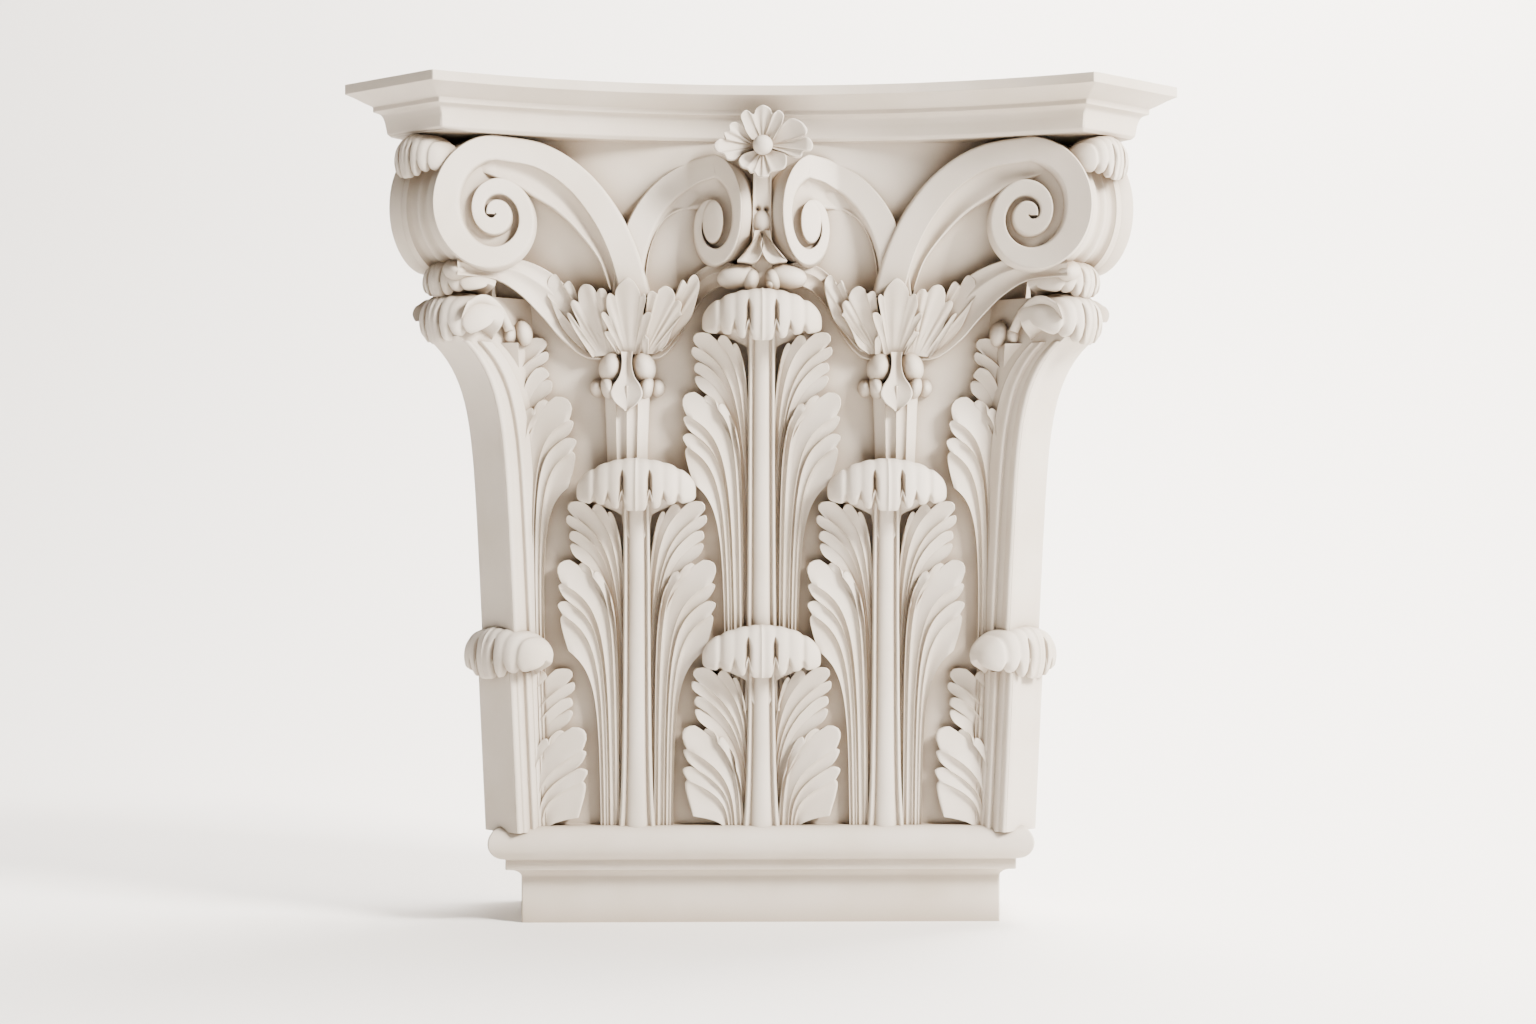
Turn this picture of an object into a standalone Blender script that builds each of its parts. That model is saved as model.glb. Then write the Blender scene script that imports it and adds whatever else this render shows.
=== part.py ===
"""Corinthian pilaster capital, cast in white plaster as one solid.

World axes: +X to the right, +Y towards the wall, +Z up. The origin is the centre of the underside's
bounding box. Places on the capital are given as (x, out, z): x from the centre line, out from the front
face of the neck towards the viewer, z above the ground. The two sides repeat the front, mirrored about
the diagonal at each corner.
All lengths are in metres.
"""

import math

import bmesh
import bpy
from mathutils import Vector

# Radius left open at the eye of a scroll
EYE = 0.0004

# Overall
HEIGHT = 0.577
NECK_WIDTH = 0.335
NECK_DEPTH = 0.112

# Neck mouldings, from the ground up
NECK_BLOCK_TOP = 0.032
CAVETTO_HEIGHT = 0.006
FILLET_HEIGHT = 0.0075
FILLET_OUT = 0.0105
TORUS_HEIGHT = 0.0238
TORUS_OUT = 0.022

# Bell
BELL_FOOT_OUT = 0.005
BELL_SLOPE = 0.006
BELL_FLARE = 0.019
BELL_FLARE_POWER = 4

# Abacus
ABACUS_THICKNESS = 0.035
HORN_X = 0.218
HORN_CUT = 0.0662
HOLLOW_DEPTH = 0.062
ABACUS_INSET = 0.0225
HOLLOW_STEPS = 5
SIDE_STEPS = 3

# Profile of the abacus from its top edge down: share of the inset and share of the thickness
ABACUS_PROFILE = (
    (0, 0), (0, 0.188571), (0.45, 0.348571), (0.66, 0.42),
    (0.66, 0.52), (0.84, 0.584286), (0.95, 0.734286),
    (1, 0.942857), (1.088889, 1),
)

# Leaf rows: the height of each row's curl above the ground
ROW_TOPS = (0.209, 0.324, 0.440)
SIDE_LEAF_X = 0.0865
LEAF_RELIEF = 0.009
LEAF_FLARES = (0.006, 0.008, 0.012)
FLARE_LENGTH = 0.025
TALL_FOOT_DROP = 0.06

# Leaf head, the same on every leaf, measured from the leaf's axis and down from its curl's top
CURL_HALF_WIDTH = 0.039
CURL_DROP = 0.034
CURL_ROOT_DROP = 0.06
STEM_HALF_WIDTH = 0.011
STEM_TAPER = 0.002
STEM_CROWN = 0.003
STEM_TOP_DROP = 0.03
LOW_LOBE = (
    (0.017, 0.093), (0.024, 0.079), (0.034, 0.072), (0.046, 0.073),
    (0.054, 0.088), (0.053, 0.108), (0.046, 0.128),
)
MID_LOBE = (
    (0.012, 0.068), (0.020, 0.046), (0.032, 0.036), (0.043, 0.041),
    (0.048, 0.058), (0.045, 0.076), (0.038, 0.092),
)
LOBE_FINGERS = 3
FLANK_FINGERS = 2
LOW_RELIEF = 0.011
MID_RELIEF = 0.009
MID_ROOT = 0.125
FAN_ROOT_SPREAD = 0.024
NOTCH_DEPTH = 0.0022
# How far the notches between fingers and petals reach, as a share of the length beside them
NOTCH_SHARE = 0.9

# Path of a curl over its top and back under it: share of the way from root to reach, further out, and height
CURL_OVER = (
    (0, -0.014, -0.058), (0, -0.014, -0.030), (0, -0.010, -0.012), (0.35, 0, -0.002),
    (1, -0.008, 0), (1, -0.001, -0.008), (1, 0, -0.021), (1, -0.003, -0.034),
)
CURL_UNDER = (
    (0, 0, -0.058), (0, 0, -0.048), (0, 0, -0.040), (0.15, 0, -0.033),
    (0.35, 0, -0.027), (0.55, 0, -0.023), (0.75, 0, -0.021), (1, -0.007, -0.034),
)
CURL_LIP_LIFT = 0.010

# Corner leaves stand on the diagonal
CORNER_FOOT = 0.010
CORNER_LEAN = 0.014
CORNER_FLARE = 0.027
CORNER_FLARE_TOP = 0.407
CORNER_FLARE_LENGTH = 0.025
CORNER_HALF_CHAMFER = 0.0115
CORNER_LOW_STEP = 0.0035
CORNER_CURL_REACHES = (0.036, 0.082)
CORNER_CURL_DEPTH = 0.034
CORNER_CURL_HALF_WIDTHS = (0.037, 0.030)
CORNER_CURL_BACKS = (0.022, 0.014)

# Caulicoli and calyxes
CAULIS_X = 0.093
CAULIS_RADIUS = 0.014
COLLAR_Z = 0.374
COLLAR_LIFT = 0.006
COLLAR_BULGE = 0.014
COLLAR_ROUND = 0.9
COLLAR_SPAN = (0.15, 0.85)
CALYX_FOOT = 0.393
BLADE_HOLLOW = 0.003

# Corner volutes
VOLUTE_POLE_X = 0.1805
VOLUTE_POLE_Z = 0.488
VOLUTE_SQUASH = 0.88
VOLUTE_RELIEF = 0.005
VOLUTE_END = 9
FLANK_END = 5.4

# Helices
HELIX_POLE_X = 0.0373
HELIX_POLE_Z = 0.4854
HELIX_SQUASH = 0.556
HELIX_EDGE_X = 0.017
HELIX_EDGE_OUT = 0.052
HELIX_END = 7.3

# Fleuron
FLEURON_Z = 0.535
FLEURON_OUT = 0.066
FLEURON_BALL = 0.0068
FLEURON_STALK_HALF_WIDTH = 0.009
FLEURON_STALK_OUTS = (0.040, 0.046)

# Leaf head details
ROW_REACHES = (0.034, 0.048, 0.060)
CURL_ARCH = 0.013
CURL_BACK = 0.005
LONG_ROOT = 0.21
CORNER_TOPS = (0.208, 0.437)
CORNER_LOW_TOP = 0.180
CORNER_SPREAD = 1.05
CORNER_LOBE_START = 0.004
CORNER_LOBE_FADE = 0.022
CORNER_EDGE_DROP = 0.02

# Spirals: outer and inner radius of the band at each quarter turn, from the top inwards
VOLUTE_TURNS = (
    (0.0537, 0.0367), (0.0455, 0.0259), (0.0365, 0.0217), (0.0287, 0.0173), (0.0243, 0.0132),
    (0.0172, 0.0072), (0.0139, EYE), (0.0122, EYE), (0.0098, EYE), (0.0066, EYE),
)
HELIX_TURNS = (
    (0.0470, 0.0306), (0.0370, 0.0240), (0.0291, 0.0177), (0.0229, 0.0126),
    (0.0180, EYE), (0.0142, EYE), (0.0111, EYE), (0.0088, EYE), (0.0070, EYE),
)

# Arches: the band's outer edge from its spring to the top of the scroll, and its count of quarter turns
VOLUTE_SETBACK = 0.005
VOLUTE_ARCH = (
    (0.077, 0.436), (0.086, 0.468), (0.100, 0.496), (0.121, 0.521), (0.148, 0.537), (0.1805, 0.5417),
)
HELIX_ARCH = (
    (0.103, 0.436), (0.099, 0.466), (0.088, 0.495), (0.071, 0.516), (0.053, 0.5285), (0.0373, 0.5324),
)
ARCH_QUARTERS = 1.6
SPRING_WIDTH = 0.020
CANAL_WIDTH = 0.016
CANAL_DEPTH = 0.007
HELIX_TURN_X = 0.052

# Collar: half width and height up its outline
COLLAR_OUTLINE = (
    (0.003, 0.354), (0.010, 0.361), (0.022, 0.367), (0.025, 0.376),
    (0.019, 0.384), (0.018, 0.393), (0.013, 0.400),
)

# Calyx blades: sideways lean of the tip, height of the tip, half width, lift off the bell, curve of the lean
CALYX_LEAVES = (
    (0.046, 0.446, 0.012, 0.010, 1.6),
    (-0.049, 0.447, 0.014, 0.010, 1.6),
    (0.024, 0.441, 0.013, 0.014, 1.2),
    (-0.026, 0.441, 0.013, 0.014, 1.2),
    (0, 0.447, 0.016, 0.019, 1),
)
BLADE_WIDTHS = ((0.25,), (0.65,), (0.95,), (1.0,), (0.75,), (0.18,))

# Sprays under the volute and under the helix: lower and upper edge
OUTER_SPRAY = (
    (
        (0.104, 0.392), (0.122, 0.394), (0.138, 0.406), (0.151, 0.421),
        (0.166, 0.436), (0.182, 0.445), (0.205, 0.446),
    ),
    (
        (0.106, 0.400), (0.126, 0.410), (0.140, 0.428), (0.150, 0.444),
        (0.163, 0.455), (0.181, 0.456), (0.205, 0.458),
    ),
)
INNER_SPRAY = (
    (
        (0.086, 0.392), (0.070, 0.394), (0.058, 0.406), (0.047, 0.424),
        (0.033, 0.436), (0.016, 0.436), (0.005, 0.436),
    ),
    (
        (0.082, 0.400), (0.066, 0.408), (0.056, 0.424), (0.047, 0.444),
        (0.034, 0.455), (0.018, 0.458), (0.005, 0.452),
    ),
)
SPRAY_LIFT = 0.006
SPRAY_HOLLOW = 0.003
SPRAY_SETBACKS = (0.004, 0.012)
SPRAY_THICKNESS = 0.012

# Leaves on the corner's diagonal, under the volute and under the horn: height, reach and half width going up
CORNER_REST = ((0.425, 0.058, 0.016), (0.440, 0.074, 0.027), (0.450, 0.076, 0.028), (0.458, 0.066, 0.020))
HORN_HUSK = ((0.508, 0.091, 0.008), (0.516, 0.100, 0.018), (0.532, 0.104, 0.026), (0.543, 0.098, 0.024))
LUMP_BACK_REACH = 0.02

# Petals: direction, length and half angle
PETALS = ((90, 0.0255, 42), (8, 0.0335, 34), (270, 0.024, 52), (172, 0.0335, 34))
PETAL_COLUMNS = 6
PETAL_START = 0.12
PETAL_CUP = 0.005
PETAL_THICKNESS = 0.006
# Each petal sits this much behind the one before it
PETAL_STEP = 0.0006

# Derived places
HALF = NECK_WIDTH / 2
TORUS_FOOT = NECK_BLOCK_TOP + CAVETTO_HEIGHT + FILLET_HEIGHT
BELL_FOOT = TORUS_FOOT + TORUS_HEIGHT
ABACUS_FOOT = HEIGHT - ABACUS_THICKNESS
HORN_OUT = HORN_X + HORN_CUT - HALF
DEPTH = NECK_DEPTH + HORN_OUT
WALL_Y = DEPTH / 2
FACE_Y = WALL_Y - NECK_DEPTH
HOLLOW_RADIUS = (HORN_X ** 2 + HOLLOW_DEPTH ** 2) / (2 * HOLLOW_DEPTH)
HOLLOW_CENTRE = HORN_OUT - HOLLOW_DEPTH + HOLLOW_RADIUS
SINK = 0.004


def spot(x, out, z):
    """World place of a point given from the centre line, the neck's face and the ground."""
    return Vector((x, FACE_Y - out, z))


def across_corner(x, out):
    """Mirrors a place on the right half of the front about the corner's diagonal, onto the right side."""
    return HALF + out, x - HALF


def lerp(a, b, t):
    return a + (b - a) * t


def bezier(p0, p1, p2, p3, t):
    s = 1 - t
    return tuple(
        s * s * s * a + 3 * s * s * t * b + 3 * s * t * t * c + t * t * t * d
        for a, b, c, d in zip(p0, p1, p2, p3)
    )


def along(points, t):
    """A point at share t of a smooth curve through the points."""
    last = len(points) - 1
    i = min(int(t * last), last - 1)
    f = t * last - i
    p0, p1, p2, p3 = (points[min(max(k, 0), last)] for k in (i - 1, i, i + 1, i + 2))
    return tuple(
        0.5 * (2 * b + (c - a) * f + (2 * a - 5 * b + 4 * c - d) * f * f + (3 * b - a - 3 * c + d) * f ** 3)
        for a, b, c, d in zip(p0, p1, p2, p3)
    )


def bell_out(z):
    """How far the plain bell stands in front of the neck's face."""
    t = min(max((z - BELL_FOOT) / (ABACUS_FOOT - BELL_FOOT), 0), 1)
    return BELL_FOOT_OUT + BELL_SLOPE * t + BELL_FLARE * t ** BELL_FLARE_POWER


def corner_out(z):
    """Offset of the corner leaf's flat from the neck's corner, in x and in out alike."""
    rise = (z - BELL_FOOT) / (CORNER_FLARE_TOP - BELL_FOOT)
    flare = CORNER_FLARE * math.exp((z - CORNER_FLARE_TOP) / CORNER_FLARE_LENGTH)
    return CORNER_FOOT + CORNER_LEAN * rise + flare


def hollow_out(x):
    """The abacus's concave front edge, and the volutes' faces, which run parallel to it."""
    return HOLLOW_CENTRE - math.sqrt(HOLLOW_RADIUS ** 2 - x * x)


def finish_mesh(bm, name, pieces):
    bmesh.ops.remove_doubles(bm, verts=bm.verts, dist=1e-6)
    bmesh.ops.recalc_face_normals(bm, faces=bm.faces)
    mesh = bpy.data.meshes.new(name)
    bm.to_mesh(mesh)
    bm.free()
    obj = bpy.data.objects.new(name, mesh)
    pieces.objects.link(obj)
    return obj


def loft(name, rings, pieces):
    """A closed solid through rings of equal length, made by extruding the first ring's face."""
    bm = bmesh.new()
    face = bm.faces.new([bm.verts.new(p) for p in rings[0]])
    for ring in rings[1:]:
        made = bmesh.ops.extrude_face_region(bm, geom=[face] + list(face.edges))
        face = next(g for g in made["geom"] if isinstance(g, bmesh.types.BMFace))
        for vert, place in zip(face.verts, ring):
            vert.co = place
    return finish_mesh(bm, name, pieces)


def slab(name, columns, rows, front, back, pieces):
    """A closed solid between two surfaces, each a function of shares across and along."""
    bm = bmesh.new()
    bmesh.ops.create_grid(bm, x_segments=columns, y_segments=rows, size=0.5)
    shares = {v: (v.co.x + 0.5, v.co.y + 0.5) for v in bm.verts}
    made = bmesh.ops.extrude_face_region(bm, geom=list(bm.faces))
    for vert in [g for g in made["geom"] if isinstance(g, bmesh.types.BMVert)]:
        vert.co = front(vert.co.x + 0.5, vert.co.y + 0.5)
    for vert, share in shares.items():
        vert.co = back(*share)
    return finish_mesh(bm, name, pieces)


def core(pieces):
    """Neck block, its mouldings and the plain bell, back to the wall."""
    profile = [(0, 0), (NECK_BLOCK_TOP, 0)]
    for turn in (30, 60, 90):
        a = math.radians(turn)
        profile.append((NECK_BLOCK_TOP + CAVETTO_HEIGHT * math.sin(a), FILLET_OUT * (1 - math.cos(a))))
    profile.append((TORUS_FOOT, FILLET_OUT))
    radius = TORUS_HEIGHT / 2
    torus_steps = 6
    for i in range(torus_steps + 1):
        a = math.pi * i / torus_steps
        profile.append((TORUS_FOOT + radius * (1 - math.cos(a)), TORUS_OUT - radius * (1 - math.sin(a))))
    bell_steps = 6
    for i in range(bell_steps + 1):
        z = lerp(BELL_FOOT, ABACUS_FOOT + SINK, i / bell_steps)
        profile.append((z, bell_out(z)))
    rings = []
    for z, out in profile:
        x = HALF + out
        rings.append([spot(-x, out, z), spot(x, out, z), spot(x, -NECK_DEPTH, z), spot(-x, -NECK_DEPTH, z)])
    return loft("core", rings, pieces)


def abacus_ring(inset, z):
    """Plan of the abacus: hollow front and sides, cut horns, flat against the wall."""
    radius = HOLLOW_RADIUS + inset
    cut = HORN_X + HORN_OUT - inset * math.sqrt(2)
    # The horn's front corner, where the hollow front meets the diagonal cut
    b = cut - HOLLOW_CENTRE
    corner_x = (b + math.sqrt(2 * radius * radius - b * b)) / 2
    angle = math.asin(corner_x / radius)
    front = []
    for i in range(HOLLOW_STEPS + 1):
        a = angle * i / HOLLOW_STEPS
        front.append((radius * math.sin(a), HOLLOW_CENTRE - radius * math.cos(a)))
    side = []
    for x, out in reversed(front):
        place = across_corner(x, out)
        if place[1] > -NECK_DEPTH:
            side.append(place)
    wall_x = HALF + HOLLOW_CENTRE - math.sqrt(radius ** 2 - (HALF - NECK_DEPTH) ** 2)
    half = front + side[:SIDE_STEPS] + [(wall_x, -NECK_DEPTH)]
    return [spot(x, out, z) for x, out in half] + [spot(-x, out, z) for x, out in reversed(half[1:])]


def abacus(pieces):
    rings = [
        abacus_ring(inset * ABACUS_INSET, HEIGHT - depth * ABACUS_THICKNESS)
        for inset, depth in reversed(ABACUS_PROFILE)
    ]
    return loft("abacus", rings, pieces)


def front_place(a, out, z):
    return spot(a, out, z)


def side_place(a, out, z):
    """The same place on the flank, beyond the corner's diagonal."""
    x, depth = across_corner(a, out)
    return spot(x, depth, z)


def diagonal_place(a, reach, z):
    """A place on the corner's diagonal: a sideways, reach outward from the neck's corner."""
    return spot(HALF + (reach + a) * math.sqrt(0.5), (reach - a) * math.sqrt(0.5), z)


def mirrored(place):
    def placed(a, out, z):
        point = place(a, out, z)
        point.x = -point.x
        return point
    return placed


def both_ways(place):
    return (place, mirrored(place))


def corner_edge(z, step):
    """Front edge of the corner leaf's flat: how far along x, and how far out."""
    q = corner_out(z) + step
    return HALF + q - CORNER_HALF_CHAMFER, q + CORNER_HALF_CHAMFER


def post(name, low, high, step, place, pieces):
    """The smooth flat down a corner leaf's middle, on the diagonal, rooted in the bell."""
    rings = []
    rises = 7
    for i in range(rises + 1):
        z = lerp(high, low, (1 - i / rises) ** 2)
        x, out = corner_edge(z, step)
        back_x, back_out = across_corner(x, out)
        rings.append([
            place(x, out, z), place(back_x, back_out, z), place(HALF - SINK, -NECK_DEPTH / 4, z),
            place(HALF - NECK_DEPTH / 4, -NECK_DEPTH / 4, z), place(HALF - NECK_DEPTH / 4, -SINK, z),
        ])
    loft(name, rings, pieces)


def curl(name, top, reach, root, half_width, bend_back, place, pieces):
    """The rolled tip of a leaf: up its back, over the top and down to the scalloped lip."""
    def surface(path):
        def at(u, v):
            side = 2 * u - 1
            depth, drop = along([(lerp(root, reach, share) + off, fall) for share, off, fall in path], v)
            spread = lerp(STEM_HALF_WIDTH, half_width, min(max(v - 0.15, 0) / 0.4, 1))
            bend = side * side * min(v * 2, 1)
            lip = max(v - 0.7, 0) / 0.3 * CURL_LIP_LIFT * side * side
            return place(side * spread, depth - bend_back * bend, top + drop - CURL_ARCH * bend + lip)
        return at

    slab(name, 6, 5, surface(CURL_OVER), surface(CURL_UNDER), pieces)


def lobe(name, outline, root, relief, fingers, shape, pieces):
    """A fan of fingers from the leaf's stem out to the scalloped outline."""
    columns = round(fingers * 2)

    def flow(u, v):
        tip = along(outline, u)
        start = (STEM_HALF_WIDTH - STEM_CROWN, lerp(root - FAN_ROOT_SPREAD, root, u))
        notch = round(u * columns) % 2 == 0
        share = v * (NOTCH_SHARE if notch else 1)
        a, d = bezier(
            start, (lerp(start[0], tip[0], 0.30), lerp(start[1], tip[1], 0.35)),
            (lerp(start[0], tip[0], 0.65), lerp(start[1], tip[1], 0.70)), tip, share,
        )
        ridge = relief * (0.75 + 0.35 * v - 0.3 * u * v) - (NOTCH_DEPTH * v if notch else 0)
        return a, d, ridge

    def front(u, v):
        a, d, ridge = flow(u, v)
        return shape(a, d, ridge)

    def back(u, v):
        a, d, ridge = flow(u, v)
        return shape(a, d, -SINK)

    slab(name, columns, 2, front, back, pieces)


def leaf_surface(z, top, row):
    """How far a leaf's face stands off the neck's plane at a height."""
    return bell_out(z) + LEAF_RELIEF + LEAF_FLARES[row] * math.exp((z - top + CURL_DROP) / FLARE_LENGTH)


def stem(name, x, low, top, row, place, pieces):
    """The leaf's middle rib."""
    high = top - STEM_TOP_DROP

    def front(u, v):
        side = 2 * u - 1
        z = lerp(low, high, v)
        half = lerp(STEM_HALF_WIDTH + STEM_TAPER, STEM_HALF_WIDTH - STEM_TAPER, v)
        out = leaf_surface(z, top, row) + STEM_CROWN * (1 - side * side)
        return place(x + side * half, out, z)

    def back(u, v):
        z = lerp(low, high, v)
        return place(x + (2 * u - 1) * STEM_HALF_WIDTH, bell_out(z) - SINK, z)

    slab(name, 2, 4, front, back, pieces)


def leaf(name, x, row, pieces, place):
    """One whole leaf standing on the bell's front."""
    top = ROW_TOPS[row]
    foot = BELL_FOOT - SINK if row < 2 else ROW_TOPS[0] - TALL_FOOT_DROP
    stem(name + " stem", x, foot, top, row, place, pieces)
    root = leaf_surface(top - CURL_ROOT_DROP, top, row)

    def curl_place(a, out, z):
        return place(x + a, out, z)

    curl(name + " curl", top, ROW_REACHES[row], root, CURL_HALF_WIDTH, CURL_BACK, curl_place, pieces)
    for hand in (1, -1):
        def shape(a, d, ridge):
            z = max(top - d, foot)
            flare = (leaf_surface(z, top, row) - bell_out(z) - LEAF_RELIEF) * (1 if ridge > 0 else 0)
            return place(x + hand * a, bell_out(z) + ridge + flare, z)

        low_root = min(top - BELL_FOOT, LONG_ROOT)
        lobe(f"{name} low {hand}", LOW_LOBE, low_root, LOW_RELIEF, LOBE_FINGERS, shape, pieces)
        lobe(f"{name} mid {hand}", MID_LOBE, MID_ROOT, MID_RELIEF, LOBE_FINGERS, shape, pieces)


def corner_leaf(name, row, low, high, step, place, pieces):
    """A leaf on the corner: smooth flat, rolled tip and the lobes that lie on the front and the flank."""
    top = CORNER_TOPS[row]
    post(name + " flat", low, high, step, place, pieces)

    def curl_place(a, reach, z):
        point = diagonal_place(a, reach, z)
        return place(point.x, FACE_Y - point.y, z)

    reach = CORNER_CURL_REACHES[row]
    curl(
        name + " curl", top, reach, reach - CORNER_CURL_DEPTH, CORNER_CURL_HALF_WIDTHS[row],
        CORNER_CURL_BACKS[row], curl_place, pieces,
    )

    for face_name, turned in (("front", False), ("flank", True)):
        def shape(a, d, ridge):
            z = max(top - d, low)
            edge_x, edge_out = corner_edge(min(z, CORNER_FLARE_TOP - CORNER_EDGE_DROP), step)
            off = a * CORNER_SPREAD - STEM_HALF_WIDTH + CORNER_LOBE_START
            near = max(1 - max(off, 0) / CORNER_LOBE_FADE, 0)
            out = bell_out(z) + ridge
            if ridge > 0:
                out = lerp(out, max(edge_out - 0.002, out), near * near)
            x = edge_x - off
            return place(*across_corner(x, out), z) if turned else place(x, out, z)

        low_root = min(top - BELL_FOOT, LONG_ROOT)
        fingers = FLANK_FINGERS if turned else LOBE_FINGERS
        lobe(f"{name} low {face_name}", LOW_LOBE, low_root, LOW_RELIEF, fingers, shape, pieces)
        lobe(f"{name} mid {face_name}", MID_LOBE, MID_ROOT, MID_RELIEF, fingers, shape, pieces)


def volute_out(x):
    """The volutes' faces: a hollow running just behind the abacus's lower edge."""
    radius = HOLLOW_RADIUS + ABACUS_INSET + VOLUTE_SETBACK
    return HOLLOW_CENTRE - math.sqrt(radius ** 2 - x * x)


def scroll(turns, arch, pole, squash, quarters):
    """Outer and inner edge of a scroll's band, in quarter turns from its top; below nought is the arch."""
    if quarters < 0:
        share = 1 + quarters / ARCH_QUARTERS
        x, z = along(arch, share)
        ax, az = along(arch, max(share - 0.03, 0))
        bx, bz = along(arch, min(share + 0.03, 1))
        width = lerp(SPRING_WIDTH, turns[0][0] - turns[0][1], share)
        length = math.hypot(bx - ax, bz - az)
        inward = 1 if bx > ax else -1
        return (x, z), (x + inward * (bz - az) / length * width, z - inward * (bx - ax) / length * width)
    lower = min(int(quarters), len(turns) - 2)
    share = quarters - lower
    turn = -quarters if pole[0] > arch[0][0] else quarters
    angle = math.pi / 2 * (1 + turn)
    edges = []
    for side in (0, 1):
        radius = lerp(turns[lower][side], turns[lower + 1][side], share)
        edges.append((pole[0] + radius * math.cos(angle) * squash, pole[1] + radius * math.sin(angle)))
    return tuple(edges)


def volute_edges(quarters):
    return scroll(VOLUTE_TURNS, VOLUTE_ARCH, (VOLUTE_POLE_X, VOLUTE_POLE_Z), VOLUTE_SQUASH, quarters)


def helix_edges(quarters):
    return scroll(HELIX_TURNS, HELIX_ARCH, (HELIX_POLE_X, HELIX_POLE_Z), HELIX_SQUASH, quarters)


def canal_edges(quarters):
    """The sunk strip that follows the volute's arch on its inner side."""
    outer, inner = volute_edges(quarters)
    share = CANAL_WIDTH / math.dist(outer, inner)
    return inner, (inner[0] + (inner[0] - outer[0]) * share, inner[1] + (inner[1] - outer[1]) * share)


def band(name, edges, span, steps, face, back, place, pieces):
    """A raised band between two edge curves, from one quarter turn to another."""
    first, last = span

    def at(u, v, surface):
        quarters = lerp(last, first, v)
        (x0, z0), (x1, z1) = edges(quarters)
        x, z = lerp(x0, x1, u), lerp(z0, z1, u)
        return place(x, surface(x, z, quarters), z)

    slab(name, 1, steps, lambda u, v: at(u, v, face), lambda u, v: at(u, v, back), pieces)


def volute(name, place, pieces):
    """A corner volute: its arch and spiral on the front and on the flank, and the body between them."""
    rings = [[], []]
    steps = 18
    for i in range(steps):
        x, z = volute_edges(4 * i / steps)[0]
        out = volute_out(x) - VOLUTE_RELIEF
        rings[0].append(place(x, out, z))
        back_x, back_out = across_corner(x, out)
        rings[1].append(place(back_x, back_out, z))
    loft(name + " body", rings, pieces)

    def face(x, z, quarters):
        return volute_out(x)

    def back(x, z, quarters):
        share = min(max(-quarters / 0.5, 0), 1)
        return lerp(volute_out(x) - VOLUTE_RELIEF - SINK, bell_out(z) - SINK, share)

    def canal_face(x, z, quarters):
        return volute_out(x) - CANAL_DEPTH

    def canal_back(x, z, quarters):
        return bell_out(z) - SINK

    def flank_place(x, out, z):
        return place(*across_corner(x, out), z)

    span = (-ARCH_QUARTERS, VOLUTE_END)
    band(name + " front band", volute_edges, span, 30, face, back, place, pieces)
    flank_span = (-ARCH_QUARTERS, FLANK_END)
    band(name + " flank band", volute_edges, flank_span, 14, face, back, flank_place, pieces)
    band(name + " canal", canal_edges, (-ARCH_QUARTERS, -0.1), 4, canal_face, canal_back, place, pieces)


def helix_out(x):
    """The helices' faces turn forward towards the middle."""
    turn = min(max((HELIX_TURN_X - x) / (HELIX_TURN_X - HELIX_EDGE_X), 0), 1.2)
    return volute_out(x) - 0.003 + (HELIX_EDGE_OUT - volute_out(0)) * turn


def helix(name, place, pieces):
    """An inner helix: arch, scroll and the body behind it."""
    rings = [[], []]
    steps = 12
    for i in range(steps):
        x, z = helix_edges(4 * i / steps)[0]
        rings[0].append(place(x, helix_out(x) - VOLUTE_RELIEF, z))
        rings[1].append(place(lerp(x, 0, 0.4), bell_out(z) - SINK, z))
    loft(name + " body", rings, pieces)

    def face(x, z, quarters):
        return helix_out(x)

    def back(x, z, quarters):
        share = min(max(-quarters / 0.5, 0), 1)
        return lerp(helix_out(x) - VOLUTE_RELIEF - SINK, bell_out(z) - SINK, share)

    band(name + " band", helix_edges, (-ARCH_QUARTERS, HELIX_END), 26, face, back, place, pieces)


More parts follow.
